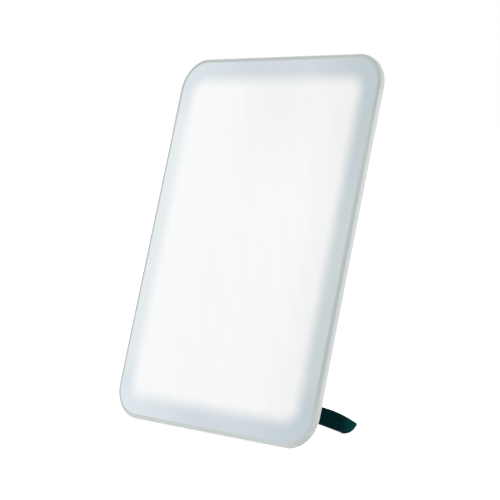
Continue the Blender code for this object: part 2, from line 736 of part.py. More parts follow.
def build_wells():
    """Each leg's well, whose mouth follows the case, with the hinge pin and the rings on it."""
    for side in (-1, 1):
        bm = bmesh.new()
        left, right = span(side, WELL_INSIDE - WELL_WALL, WELL_OUTSIDE + WELL_WALL)
        add_box(bm, left, right, WELL_BOTTOM, WELL_CEILING, WELL_FRONT, BACK)
        well = make(side_name("leg_well", side), "case_plastic", bm)
        flange = bmesh.new()
        left, right = span(side, WELL_INSIDE - WELL_WALL - WELL_FLANGE_WIDTH, WELL_OUTSIDE)
        flange_back = CASE_INSIDE - GAP
        add_box(flange, left, right, WELL_BASE, WELL_CEILING + WELL_FLANGE_WIDTH,
                flange_back - WELL_FLANGE_THICKNESS, flange_back)
        combine(well, cutter(flange), "UNION")
        combine(well, cutter(case_solid()), "INTERSECT")
        hollow = bmesh.new()
        left, right = span(side, WELL_INSIDE, WELL_OUTSIDE)
        add_box(hollow, left, right, WELL_BASE, WELL_TOP, WELL_BED, BACK + OVERRUN)
        cut(well, hollow)
        bore = bmesh.new()
        low, high = WELL_BOTTOM - OVERRUN, WELL_CEILING + OVERRUN
        add_post(bore, side * HINGE_OFFSET, HINGE_DEPTH, low, high, BORE_RADIUS)
        cut(well, bore)

        pin = bmesh.new()
        add_post(pin, side * HINGE_OFFSET, HINGE_DEPTH, WELL_BOTTOM + GAP, WELL_CEILING - GAP, PIN_RADIUS)
        smooth(make(side_name("hinge_pin", side), "steel", pin))
        rings = (
            ("hinge_spacer", WELL_BASE + GAP, ROOT_BASE - GAP),
            ("hinge_washer", ROOT_TOP + GAP, ROOT_TOP + GAP + WASHER_THICKNESS),
        )
        for stem, bottom, top in rings:
            bm = bmesh.new()
            add_post(bm, side * HINGE_OFFSET, HINGE_DEPTH, bottom, top, WASHER_RADIUS)
            ring = make(side_name(stem, side), "brass", bm)
            bore = bmesh.new()
            add_post(bore, side * HINGE_OFFSET, HINGE_DEPTH, WELL_BOTTOM, WELL_CEILING, BORE_RADIUS)
            cut(ring, bore)
            smooth(ring)


def leg_underside(depth):
    """Height of the leg's lower edge at a depth."""
    if depth >= TOE_DEPTH:
        return TOE_HEIGHT - math.sqrt(LEG_TOE_RADIUS ** 2 - (depth - TOE_DEPTH) ** 2)
    share = (TOE_DEPTH - max(depth, HINGE_DEPTH)) / (TOE_DEPTH - HINGE_DEPTH)
    return TOE_BASE + (ROOT_BASE - TOE_BASE) * share


def leg_topside(depth):
    """Height of the leg's upper edge at a depth."""
    shoulder = HINGE_DEPTH + LEG_SHOULDER_REACH
    share = max(depth - shoulder, 0.0) / (TOE_END - shoulder)
    return ROOT_TOP + (TIP_TOP - ROOT_TOP) * share ** 2


def leg_ring(side, depth, half_thickness, bottom, top):
    """The leg's cross-section at a depth: a rectangle with rounded edges."""
    centre = side * HINGE_OFFSET
    round_share = 0.45
    radius = min(LEG_EDGE_RADIUS, half_thickness * 2 * round_share, (top - bottom) * round_share)
    points = outline(centre - half_thickness, centre + half_thickness, bottom, top, radius,
                     SMALL_EDGE_SEGMENTS)
    return [(across, depth, up) for across, up in points]


def build_legs():
    """Each leg, skinned through rings from its round root to its tip, with the pad under its toe."""
    half = LEG_THICKNESS / 2
    root_steps, run_steps, toe_steps, tip_steps = 6, 8, 9, 4
    for side in (-1, 1):
        stations = []
        for step in range(root_steps):
            angle = ROOT_SWEEP * (1 - step / root_steps)
            stations.append((HINGE_DEPTH - half * math.sin(angle), half * math.cos(angle)))
        for step in range(run_steps):
            stations.append((HINGE_DEPTH + (TOE_DEPTH - HINGE_DEPTH) * step / run_steps, half))
        sweep = math.asin(TOE_CHORD / LEG_TOE_RADIUS)
        for step in range(toe_steps):
            stations.append((TOE_DEPTH + LEG_TOE_RADIUS * math.sin(sweep * step / toe_steps), half))
        rings = []
        for depth, width in stations:
            rings.append(leg_ring(side, depth, width, leg_underside(depth), leg_topside(depth)))
        for step in range(tip_steps):
            angle = TIP_SWEEP * step / (tip_steps - 1)
            width = half - LEG_EDGE_RADIUS * (1 - math.cos(angle))
            drop = LEG_TIP_RADIUS * (1 - math.cos(angle))
            bottom = TIP_TOP - 2 * LEG_TIP_RADIUS + drop
            depth = TOE_END + LEG_TIP_RADIUS * math.sin(angle)
            rings.append(leg_ring(side, depth, width, bottom, TIP_TOP - drop))
        bm = bmesh.new()
        add_stack(bm, rings)
        hinge = (side * HINGE_OFFSET, HINGE_DEPTH, (ROOT_BASE + ROOT_TOP) / 2)
        leg = make(side_name("leg", side), "leg_plastic", bm, hinge)
        bore = bmesh.new()
        add_post(bore, side * HINGE_OFFSET, HINGE_DEPTH, WELL_BOTTOM, WELL_CEILING, BORE_RADIUS)
        cut(leg, bore)
        socket = bmesh.new()
        add_ground_block(socket, side * HINGE_OFFSET, TOE_PLACE, PAD_WIDTH, PAD_LENGTH,
                         PAD_CORNER_RADIUS, TABLE - OVERRUN, TABLE + PAD_HEIGHT + GAP, GAP)
        cut(leg, socket)
        smooth(leg)
        pad = bmesh.new()
        add_ground_block(pad, side * HINGE_OFFSET, TOE_PLACE, PAD_WIDTH, PAD_LENGTH,
                         PAD_CORNER_RADIUS, TABLE, TABLE + PAD_HEIGHT)
        smooth(make(side_name("leg_pad", side), "rubber", pad, hinge))


def build_driver_board():
    bm = bmesh.new()
    add_box(bm, -BOARD_WIDTH / 2, BOARD_WIDTH / 2, BOARD_BASE, BOARD_TOP, BOARD_FRONT, BOARD_REAR)
    board = make("driver_board", "circuit_board", bm)
    holes = bmesh.new()
    hole = BOARD_SCREW_RADIUS + SCREW_HOLE_CLEARANCE
    through = [(BOARD_FRONT - OVERRUN, hole), (BOARD_REAR + OVERRUN, hole)]
    for across, up in board_screw_places():
        add_disc(holes, across, up, through, SMALL_SIDES)
    cut(board, holes)

    seat = BOARD_FRONT - GAP
    head = BOARD_SCREW_HEAD_RADIUS
    profile = [(seat - BOARD_SCREW_HEAD_HEIGHT, head), (seat, head)]
    profile += [(seat, BOARD_SCREW_RADIUS), (seat + BOARD_SCREW_LENGTH, BOARD_SCREW_RADIUS)]
    make_set("board_screw", "steel", board_screw_places(), profile)

    column_share, row_share = 0.27, 0.62
    column = BOARD_WIDTH * column_share
    row = BOARD_BASE + BOARD_HEIGHT * row_share
    inductor = bmesh.new()
    profile = [(PART_SEAT, INDUCTOR_RADIUS), (PART_SEAT + INDUCTOR_HEIGHT, INDUCTOR_RADIUS)]
    add_disc(inductor, -column, row, profile)
    smooth(make("driver_inductor", "ferrite", inductor))
    places = [(column + side * CAPACITOR_SPACING / 2, row) for side in (-1, 1)]
    profile = [(PART_SEAT, CAPACITOR_RADIUS), (PART_SEAT + CAPACITOR_HEIGHT, CAPACITOR_RADIUS)]
    for can in make_set("smoothing_capacitor", "can_sleeve", places, profile):
        smooth(can)
    chip = bmesh.new()
    chip_height = BOARD_BASE + BOARD_HEIGHT * (1 - row_share)
    add_box(chip, column - CHIP_WIDTH / 2, column + CHIP_WIDTH / 2, chip_height - CHIP_LENGTH / 2,
            chip_height + CHIP_LENGTH / 2, PART_SEAT, PART_SEAT + CHIP_HEIGHT)
    make("driver_chip", "black_resin", chip)
    for side in (-1, 1):
        connector = bmesh.new()
        centre = side * CONNECTOR_OFFSET
        add_box(connector, centre - CONNECTOR_WIDTH / 2, centre + CONNECTOR_WIDTH / 2,
                LEAD_HEIGHT - CONNECTOR_LENGTH / 2, LEAD_HEIGHT + CONNECTOR_LENGTH / 2,
                PART_SEAT, PART_SEAT + CONNECTOR_HEIGHT)
        make(side_name("led_connector", side), "connector_nylon", connector)


def build_jack():
    half = JACK_SIZE / 2
    mouth = BACK - JACK_SETBACK
    floor = mouth - JACK_BORE_DEPTH
    bm = bmesh.new()
    add_box(bm, -half, half, JACK_HEIGHT - half, JACK_HEIGHT + half, PART_SEAT, mouth)
    jack = make("dc_jack", "black_resin", bm)
    bore = bmesh.new()
    add_disc(bore, 0.0, JACK_HEIGHT, [(floor, JACK_BORE_RADIUS), (mouth + OVERRUN, JACK_BORE_RADIUS)])
    cut(jack, bore)
    pin = bmesh.new()
    start = floor + GAP
    profile = [(start, JACK_PIN_RADIUS), (start + JACK_PIN_LENGTH, JACK_PIN_RADIUS)]
    add_disc(pin, 0.0, JACK_HEIGHT, profile, SMALL_SIDES)
    smooth(make("dc_jack_pin", "steel", pin))


def build_button():
    cap = BACK + BUTTON_PROUD
    flange = BUTTON_RADIUS + BUTTON_FLANGE_WIDTH
    profile = [
        (NUB_FRONT, BUTTON_NUB_RADIUS),
        (FLANGE_FRONT, BUTTON_NUB_RADIUS),
        (FLANGE_FRONT, flange),
        (FLANGE_BACK, flange),
        (FLANGE_BACK, BUTTON_RADIUS),
    ]
    for step in range(SMALL_EDGE_SEGMENTS + 1):
        angle = math.pi / 2 * step / SMALL_EDGE_SEGMENTS
        profile.append((
            cap - BUTTON_EDGE_RADIUS * (1 - math.sin(angle)),
            BUTTON_RADIUS - BUTTON_EDGE_RADIUS * (1 - math.cos(angle)),
        ))
    centre = (0.0, cap, BUTTON_HEIGHT)
    bm = bmesh.new()
    add_disc(bm, 0.0, BUTTON_HEIGHT, profile)
    smooth(make("power_button", "button_plastic", bm, centre))

    plunger = bmesh.new()
    profile = [(PLUNGER_FRONT, PLUNGER_RADIUS), (PLUNGER_BACK, PLUNGER_RADIUS)]
    add_disc(plunger, 0.0, BUTTON_HEIGHT, profile, SMALL_SIDES)
    smooth(make("switch_plunger", "black_resin", plunger, centre))

    half = SWITCH_SIZE / 2
    body = bmesh.new()
    add_box(body, -half, half, BUTTON_HEIGHT - half, BUTTON_HEIGHT + half, PART_SEAT, SWITCH_BACK)
    switch = make("tact_switch", "black_resin", body)
    well = bmesh.new()
    hole = PLUNGER_RADIUS + GAP
    add_disc(well, 0.0, BUTTON_HEIGHT, [(PLUNGER_WELL, hole), (SWITCH_BACK + OVERRUN, hole)], SMALL_SIDES)
    cut(switch, well)


def build_case_screws():
    start, end = BACKPLATE_BACK + GAP, CASE_INSIDE - GAP
    bore = CASE_SCREW_RADIUS + SCREW_HOLE_CLEARANCE
    head = CASE_SCREW_HEAD_RADIUS
    seat = BACK - CASE_SCREW_HEAD_HEIGHT
    column = [(start, STANDOFF_RADIUS), (end, STANDOFF_RADIUS)]
    for standoff, (across, up) in zip(make_set("case_standoff", "brass", case_screw_places(), column),
                                      case_screw_places()):
        hole = bmesh.new()
        add_disc(hole, across, up, [(start - OVERRUN, bore), (end + OVERRUN, bore)], SMALL_SIDES)
        cut(standoff, hole)
    profile = [(seat - CASE_SCREW_LENGTH, CASE_SCREW_RADIUS), (seat, CASE_SCREW_RADIUS)]
    profile += [(seat, head), (seat + CASE_SCREW_HEAD_HEIGHT - GAP, head)]
    make_set("case_screw", "steel", case_screw_places(), profile)


def lean_and_settle():
    """Lean every piece back, and put the origin under the middle of the box around them."""
    pieces = list(bpy.context.collection.objects)
    base = bpy.data.objects.new("base", None)
    lean = bpy.data.objects.new("lean", None)
    bpy.context.collection.objects.link(base)
    bpy.context.collection.objects.link(lean)
    lean.parent = base
    lean.rotation_euler = (-LEAN, 0.0, 0.0)
    for piece in pieces:
        piece.parent = lean
    bpy.context.view_layer.update()
    graph = bpy.context.evaluated_depsgraph_get()
    backs = []
    for piece in pieces:
        shown = piece.evaluated_get(graph)
        mesh = shown.to_mesh()
        backs += [(shown.matrix_world @ vertex.co).y for vertex in mesh.vertices]
        shown.to_mesh_clear()
    base.location = (0.0, -(min(backs) + max(backs)) / 2, -TABLE)
    bpy.context.view_layer.update()


def main():
    clear_scene()
    build_front_cover()
    build_rear_case()
    build_mid_frame()
    build_optics()
    build_backplate()
    build_strips()
    build_leads()
    build_wells()
    build_legs()
    build_bumpers()
    build_driver_board()
    build_jack()
    build_button()
    build_case_screws()
    lean_and_settle()


main()
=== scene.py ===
"""Looks of the light therapy lamp: its lit cover, case, legs and small parts, and their finishes.

Metres. Each piece is modelled upright, with X across the panel, Y from its front face to its
back and Z up from its foot. It is then leant back into its place, so its object stays at the
origin.
"""
import json
import math

import bmesh
import bpy
from mathutils import Matrix, Vector


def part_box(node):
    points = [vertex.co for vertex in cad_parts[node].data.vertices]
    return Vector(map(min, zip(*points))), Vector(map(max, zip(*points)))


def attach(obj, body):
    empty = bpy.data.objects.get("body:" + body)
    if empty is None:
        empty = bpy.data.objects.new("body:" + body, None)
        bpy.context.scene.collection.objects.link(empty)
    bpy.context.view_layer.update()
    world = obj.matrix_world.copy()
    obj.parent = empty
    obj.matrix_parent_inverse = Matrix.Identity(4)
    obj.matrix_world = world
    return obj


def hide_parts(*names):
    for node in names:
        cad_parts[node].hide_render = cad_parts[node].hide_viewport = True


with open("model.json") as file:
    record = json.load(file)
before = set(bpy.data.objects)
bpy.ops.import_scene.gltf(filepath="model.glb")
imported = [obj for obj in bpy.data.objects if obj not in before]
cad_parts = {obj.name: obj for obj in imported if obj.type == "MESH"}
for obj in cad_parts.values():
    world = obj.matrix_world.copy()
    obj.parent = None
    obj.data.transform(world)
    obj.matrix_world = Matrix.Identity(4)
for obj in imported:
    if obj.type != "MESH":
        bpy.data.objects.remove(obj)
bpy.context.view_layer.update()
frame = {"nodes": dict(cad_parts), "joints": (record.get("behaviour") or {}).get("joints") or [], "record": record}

# Axes of the upright panel
DEPTH = 1
UP = 2

# Front cover
PANEL_CORNER_RADIUS = 0.0270
COVER_EDGE_WIDTH = 0.0037
COVER_EDGE_DEPTH = 0.0017
COVER_RIM_DEPTH = 0.0019
COVER_THICKNESS = 0.0020
COVER_LIP_INSET = 0.0023
COVER_LIP_WIDTH = 0.0013

# Rear case
CASE_WALL = 0.0020
CASE_SIDE_DEPTH = 0.0043
CASE_EDGE_RADIUS = 0.0030
CASE_BACK_EDGE_RADIUS = 0.0050
CASE_SLOPE = math.radians(45)
SEAM_GAP = 0.00008
SEAM_EDGE = 0.00012

# Clearance between pieces, and how far a cutter runs past the face that it cuts
GAP = 0.0003
OVERRUN = 0.0020

# Legs
LEG_ROOT_HEIGHT = 0.0110
LEG_TOE_RADIUS = 0.0124
LEG_TOP_FALL = 0.0058
LEG_SHOULDER_REACH = 0.0257
LEG_TIP_RADIUS = 0.0017
LEG_EDGE_RADIUS = 0.0014
LEG_ROOT_SWEEP = math.radians(82)
LEG_TIP_SWEEP = math.radians(72)
PIN_RADIUS = 0.0015
PIN_EDGE = 0.0003
RING_EDGE = 0.0001

# Wells that the legs fold into
WELL_WALL = 0.0016
WELL_FLOOR = 0.0012
WELL_FLANGE_WIDTH = 0.0020
WELL_FLANGE_THICKNESS = 0.0008
WELL_CORNER_RADIUS = 0.0028
WELL_EDGE = 0.0004
MOUTH_FLARE = 0.0002

# Feet under the case and the legs
BUMPER_CORNER_RADIUS = 0.0012
BUMPER_EDGE = 0.0001
PAD_CORNER_RADIUS = 0.0016
PAD_EDGE = 0.0003

# Button, inlet and screws on the back
BUTTON_RADIUS = 0.0065
BUTTON_EDGE = 0.0006
BUTTON_DISH = 0.00035
BUTTON_DISH_SHARES = (0.72, 0.54, 0.36, 0.18)
BUTTON_FLANGE_THICKNESS = 0.0010
BUTTON_NUB_RADIUS = 0.0022
HOLE_DEPTH = 0.0040
HOLE_EDGE = 0.0004
JACK_BORE_RADIUS = 0.0031
JACK_BORE_DEPTH = 0.0064
JACK_CORNER_RADIUS = 0.0006
JACK_EDGE = 0.0003
SCREW_HEAD_RADIUS = 0.0026
SCREW_HEAD_HEIGHT = 0.0010
SCREW_SHANK_RADIUS = 0.0014
SCREW_EDGE = 0.0003
RECESS_WIDTH = 0.0007
RECESS_SPAN = 0.0029
RECESS_DEPTH = 0.0006
RECESS_TURN = math.radians(37)

# Below the inlet pin's tip and inside its side, as shares of its radius
PIN_TIP_SHARES = ((0.5, 1.0), (0.2, 0.8), (0.0, 0.4))
# Below a screw head's top and inside its side, as shares of its edge
SCREW_DOME_SHARES = ((1.0, 0.0), (1 / 3, 1 / 2), (0.0, 3 / 2))

# Facets of round shapes, and the angle up to which faces are shaded as one
CORNER_STEPS = 24
EDGE_STEPS = 8
SMALL_STEPS = 4
RING_STEPS = 3
SEAM_STEPS = 2
TURNED_SIDES = 64
SMALL_SIDES = 48
TOE_STEPS = 18
RUN_STEPS = 12
SMOOTH_ANGLE = math.radians(32)

# How near a place, and how nearly along or across an axis, what is picked has to lie
NEAR = 0.00002
ALONG = 0.99
ACROSS = 0.01

# The lit part of the cover, measured from its outer edges to the middle of its soft border
LIT_LEFT = 0.0174
LIT_RIGHT = 0.0184
LIT_TOP = 0.0198
LIT_BOTTOM = 0.0192
LIT_CORNER_RADIUS = 0.0130
LIT_FADE = 0.0080
LIT_DRIFT = 0.003

# Camera, measured from the panel's foot
CAMERA_YAW = 0.7557
CAMERA_PITCH = 0.0954
CAMERA_LENS = 110.06
CAMERA_DISTANCE = 1.22765
CAMERA_AIM_RIGHT = 0.03669
CAMERA_AIM_UP = 0.13403
CAMERA_SHIFT_UP = 0.03
SENSOR_WIDTH = 36.0

# Soft boxes, floor and surroundings
KEY_PLACE = (-0.9, -1.6, 1.7)
KEY_WATTS = 21.5
FILL_PLACE = (1.8, 0.3, 1.0)
FILL_WATTS = 14.0
SOFT_BOX_SIZE = 1.2
SOFT_BOX_AIM = (0.0, 0.0, 0.17)
FLOOR_SIZE = 40.0
FLOOR_SHADE = 0.80
FLOOR_LIFT = 0.80
SKY_ON_LAMP = 0.64
SKY_SEEN = 1.0
WHITE = (1.0, 1.0, 1.0, 1.0)

# The panel's lean, and its place, as the frame has them
HINGE = next(joint for joint in frame["joints"] if joint["name"] == "leg_right_hinge")
LEAN = math.atan2(HINGE["axis"][1], HINGE["axis"][2])


def box_of(node, turn):
    """Lowest and highest corner of a CAD node, seen through a turn."""
    points = [turn @ vertex.co for vertex in frame["nodes"][node].data.vertices]
    low = Vector([min(point[axis] for point in points) for axis in range(3)])
    high = Vector([max(point[axis] for point in points) for axis in range(3)])
    return low, high


COVER_LOW, COVER_HIGH = box_of("front_cover", Matrix.Rotation(LEAN, 4, "X"))
PANEL = Matrix.Rotation(-LEAN, 4, "X") @ Matrix.Translation((0.0, COVER_LOW.y, COVER_LOW.z))
UPRIGHT = PANEL.inverted()
PANEL_HEIGHT = COVER_HIGH.z - COVER_LOW.z
HALF_HEIGHT = PANEL_HEIGHT / 2
HALF_WIDTH = COVER_HIGH.x


def upright_box(node):
    return box_of(node, UPRIGHT)


def upright_middle(node):
    low, high = upright_box(node)
    return (low + high) / 2


BACK = upright_box("rear_case")[1].y
FLANGE_BACK = BACK - CASE_WALL - GAP


# Shader nodes

def start_finish(name):
    """A new material, with its node tree and its main shader."""
    material = bpy.data.materials.new(name)
    material.use_nodes = True
    tree = material.node_tree
    return material, tree, tree.nodes["Principled BSDF"]


def add_node(tree, kind, inputs, **settings):
    """A node whose inputs are linked, if they come from another node, or set."""
    node = tree.nodes.new(kind)
    for name, value in settings.items():
        setattr(node, name, value)
    for name, value in inputs.items():
        if isinstance(value, bpy.types.NodeSocket):
            tree.links.new(value, node.inputs[name])
        else:
            node.inputs[name].default_value = value
    return node


def reckon(tree, operation, *values):
    """The result of one sum."""
    inputs = dict(enumerate(values))
    return add_node(tree, "ShaderNodeMath", inputs, operation=operation).outputs[0]


def fade(tree, value, low, high, start=0.0, end=1.0):
    """A smooth change from start to end as a value goes from low to high."""
    inputs = {"Value": value, "From Min": low, "From Max": high, "To Min": start, "To Max": end}
    node = add_node(tree, "ShaderNodeMapRange", inputs, interpolation_type="SMOOTHSTEP")
    return node.outputs["Result"]


def blend_colours(tree, share, first, second, how="MIX"):
    inputs = {0: share, 6: first, 7: second}
    return add_node(tree, "ShaderNodeMix", inputs, data_type="RGBA", blend_type=how).outputs[2]


def grey_of(tree, level):
    """A grey whose red, green and blue are one level."""
    inputs = dict.fromkeys(("Red", "Green", "Blue"), level)
    return add_node(tree, "ShaderNodeCombineColor", inputs).outputs["Color"]


def to_linear(share):
    return share / 12.92 if share <= 0.04045 else ((share + 0.055) / 1.055) ** 2.4


def linear(red, green, blue):
    """A colour as it is seen on screen, 0 to 255, in the shader's own scale."""
    return (*[to_linear(value / 255) for value in (red, green, blue)], 1.0)


def upright_place(tree, scale=(1.0, 1.0, 1.0), turn=0.0):
    """Where a point lies on the upright panel, scaled, and turned in the panel's plane."""
    place = add_node(tree, "ShaderNodeTexCoord", {}).outputs["Object"]
    inputs = {"Vector": place, "Location": UPRIGHT.translation, "Rotation": (LEAN, 0.0, 0.0)}
    place = add_node(tree, "ShaderNodeMapping", inputs).outputs["Vector"]
    if turn:
        inputs = {"Vector": place, "Rotation": (0.0, turn, 0.0)}
        place = add_node(tree, "ShaderNodeMapping", inputs).outputs["Vector"]
    inputs = {"Vector": place, "Scale": scale}
    return add_node(tree, "ShaderNodeMapping", inputs).outputs["Vector"]


def panel_axes(tree):
    """A point's place on the upright panel, and how far across, back and up it lies."""
    place = upright_place(tree)
    axes = add_node(tree, "ShaderNodeSeparateXYZ", {"Vector": place}).outputs
    return place, axes["X"], axes["Y"], axes["Z"]


def noise(tree, place, scale, detail=2.0, roughness=0.5):
    inputs = {"Vector": place, "Scale": scale, "Detail": detail, "Roughness": roughness}
    return add_node(tree, "ShaderNodeTexNoise", inputs).outputs["Fac"]


def add_bump(tree, shader, height, distance, strength):
    inputs = {"Height": height, "Distance": distance, "Strength": strength}
    bump = add_node(tree, "ShaderNodeBump", inputs)
    tree.links.new(bump.outputs["Normal"], shader.inputs["Normal"])


def edge_distance(tree, across, up, middle, half_size, radius):
    """How far a point is outside a rounded rectangle, less than 0 inside it."""
    spans = []
    for value, centre, half in zip((across, up), middle, half_size):
        away = reckon(tree, "ABSOLUTE", reckon(tree, "SUBTRACT", value, centre))
        spans.append(reckon(tree, "SUBTRACT", away, half - radius))
    squares = [reckon(tree, "POWER", reckon(tree, "MAXIMUM", span, 0.0), 2.0) for span in spans]
    corner = reckon(tree, "SQRT", reckon(tree, "ADD", *squares))
    inner = reckon(tree, "MINIMUM", reckon(tree, "MAXIMUM", *spans), 0.0)
    return reckon(tree, "SUBTRACT", reckon(tree, "ADD", corner, inner), radius)


# The middle part of a noise's values, which a fade spreads over its own range
NOISE_RANGE = (0.3, 0.7)
PATCH_RANGE = (0.35, 0.65)
CLOUD_RANGE = (0.25, 0.75)

# Fine grain of moulded, cast and drawn surfaces
GRAIN_DETAIL = 3.0
GRAIN_ROUGHNESS = 0.6
GRAIN_STRENGTH = 0.4
GLOSS_SPREAD = 0.05
GRAINS_PER_CLOUD = 30

# Where soft changes of shade start and end on the upright panel: across from its middle, with
# its right side above 0, back from its front face, and up from its foot
LEFT_ACROSS = (0.000, -0.100)
RIGHT_ACROSS = (0.020, 0.100)
RIGHT_GLOW_ACROSS = (0.045, 0.100)
TOP_GLOW_ACROSS = (-0.050, 0.005)
RIM_CORNER_ACROSS = (0.075, 0.105)
SIDE_CORNER_ACROSS = (0.090, 0.106)
FACE_TO_SIDE_BACK = (0.0005, 0.0015)
SIDE_TO_SLOPE_BACK = (0.0090, 0.0050)
FOOT_UP = (0.060, 0.018)
RIGHT_BORDER_UP = (0.150, 0.280)
LEFT_BORDER_UP = (0.247, 0.307)
TOP_GLOW_UP = (0.170, 0.300)
RIM_CORNER_UP = (0.250, 0.298)
SIDE_TOP_UP = (0.270, 0.300)
SIDE_FOOT_UP = (0.045, 0.018)
RIM_INSIDE = (-COVER_EDGE_WIDTH - 0.0003, -COVER_EDGE_WIDTH + 0.0006)

# Shades of the cover's border, each from its first to its second end, with painted light at its left and painted
# shade at its right; painted shade on its rim and round its side's corners
BORDER_MIDDLE = (linear(201, 209, 215), linear(204, 212, 219))
BORDER_RIGHT_PAINTED_SHADE = (linear(200, 209, 212), linear(182, 194, 199))
BORDER_RIGHT_FOOT_PAINTED_SHADE = linear(189, 201, 208)
BORDER_LEFT_PAINTED_LIGHT = (linear(227, 233, 236), linear(213, 221, 226))
BORDER_LEFT_FOOT_PAINTED_LIGHT = linear(217, 225, 230)
RIM_RIGHT_SHADE = linear(181, 188, 186)
RIM_LEFT_SHADE = linear(184, 190, 190)
RIM_FOOT_SHADE = linear(187, 194, 191)
RIM_TOP_CORNER_SHADE = linear(169, 178, 176)
SIDE_GREY = linear(210, 215, 215)
SIDE_CORNER_SHADE = linear(198, 204, 203)
LIT_BODY = (0.303, 0.307, 0.307, 1.0)

# How strongly the cover glows, what it loses towards its sides and top, and the painted light in the unlit border
# at its foot
GLOW = (0.598, 0.613)
RIGHT_GLOW_LOSS = 0.058
LEFT_GLOW_LOSS = -0.014
TOP_GLOW_LOSS = 0.070
TOP_LEFT_GLOW_SHARE = 0.3
PAINTED_LIGHT_OVER_FOOT = (0.040, 0.012, 0.0, 0.045)
PAINTED_LIGHT_AT_FOOT = (0.006, 0.000, 0.0, 0.075)
PATCH_SCALE = 55.0
STREAK_SCALE = (90.0, 1.0, 9.0)
STREAK_TURN = math.radians(24)
COVER_GRAIN = 1400.0
COVER_GRAIN_DEPTH = 0.00002
COVER_GRAIN_STRENGTH = 0.15
COVER_ROUGHNESS = (0.24, 0.30)
COVER_SPECULAR = 0.25

# Unevenness of the case's colour and of the legs' painted toe sheen
CLOUD_SCALE = 60.0
CASE_CLOUDS = (0.985, 1.0)
LEG_CLOUDS = (0.75, 1.0)

# The legs' own dark teal, the painted sheen towards the toe and tip, and how far back from the panel's face the
# sheen comes in
LEG_TEAL = (0.0, 0.0122, 0.0140, 1.0)
LEG_TOE_SHEEN = (0.0020, 0.0470, 0.0450, 1.0)
LEG_TIP_SHEEN = (0.0160, 0.0900, 0.0880, 1.0)
LEG_TOE_SHEEN_BACK = (0.0640, 0.0840)
LEG_TIP_SHEEN_BACK = (0.0825, 0.0880)
LEG_TINT = (0.15, 0.85, 0.90, 1.0)

# Solder mask and the tracks under it
MASK_GREENS = {"Color1": (0.010, 0.110, 0.045, 1.0), "Color2": (0.012, 0.130, 0.050, 1.0)}
TRACK_GREEN = (0.030, 0.260, 0.110, 1.0)
TRACK_WIDTH = 0.0004
TRACK_SOFTNESS = 0.1
TRACK_LENGTH = 0.0130
TRACK_PITCH = 0.0040
TRACK_RISE = 0.00004
TRACK_STRENGTH = 0.5
BOARD_ROUGHNESS = 0.35


# Finishes

def lit_share(tree, across, up, patches):
    """1 on the lit part of the cover and 0 on its border, with a soft, slightly uneven change."""
    middle = ((LIT_LEFT - LIT_RIGHT) / 2, HALF_HEIGHT + (LIT_BOTTOM - LIT_TOP) / 2)
    half_size = (HALF_WIDTH - (LIT_LEFT + LIT_RIGHT) / 2, HALF_HEIGHT - (LIT_BOTTOM + LIT_TOP) / 2)
    window = edge_distance(tree, across, up, middle, half_size, LIT_CORNER_RADIUS)
    drift = reckon(tree, "MULTIPLY", reckon(tree, "SUBTRACT", patches, 0.5), LIT_DRIFT)
    return fade(tree, reckon(tree, "ADD", window, drift), LIT_FADE, -LIT_FADE)


def border_colour_with_painted_light(tree, across, up, patches):
    """The unlit border's colour with painted light and shade: lighter at the left than at the right, and darker up
    both sides.
    """
    foot = fade(tree, up, *FOOT_UP)
    right = blend_colours(tree, fade(tree, up, *RIGHT_BORDER_UP), *BORDER_RIGHT_PAINTED_SHADE)
    right = blend_colours(tree, foot, right, BORDER_RIGHT_FOOT_PAINTED_SHADE)
    left = blend_colours(tree, fade(tree, up, *LEFT_BORDER_UP), *BORDER_LEFT_PAINTED_LIGHT)
    left = blend_colours(tree, foot, left, BORDER_LEFT_FOOT_PAINTED_LIGHT)
    middle = blend_colours(tree, fade(tree, patches, *PATCH_RANGE), *BORDER_MIDDLE)
    colour = blend_colours(tree, fade(tree, across, *RIGHT_ACROSS), middle, right)
    return blend_colours(tree, fade(tree, across, *LEFT_ACROSS), colour, left)


def rim_shade(tree, across, up):
    """The frosted rim's grey with painted shade: darker at the right than at the left and foot, and darkest round
    its top corners.
    """
    colour = blend_colours(tree, fade(tree, across, *LEFT_ACROSS), RIM_RIGHT_SHADE, RIM_LEFT_SHADE)
    colour = blend_colours(tree, fade(tree, up, *FOOT_UP), colour, RIM_FOOT_SHADE)
    outward = fade(tree, reckon(tree, "ABSOLUTE", across), *RIM_CORNER_ACROSS)
    corners = reckon(tree, "MULTIPLY", outward, fade(tree, up, *RIM_CORNER_UP))
    return blend_colours(tree, corners, colour, RIM_TOP_CORNER_SHADE)


def side_colour_and_shade(tree, across, back, up):
    """Pale grey, with painted shade where the panel's side goes round its corners."""
    outward = fade(tree, reckon(tree, "ABSOLUTE", across), *SIDE_CORNER_ACROSS)
    top, foot = fade(tree, up, *SIDE_TOP_UP), fade(tree, up, *SIDE_FOOT_UP)
    corners = reckon(tree, "MULTIPLY", outward, reckon(tree, "MAXIMUM", top, foot))
    corners = reckon(tree, "MULTIPLY", corners, fade(tree, back, *SIDE_TO_SLOPE_BACK))
    return blend_colours(tree, corners, SIDE_GREY, SIDE_CORNER_SHADE)


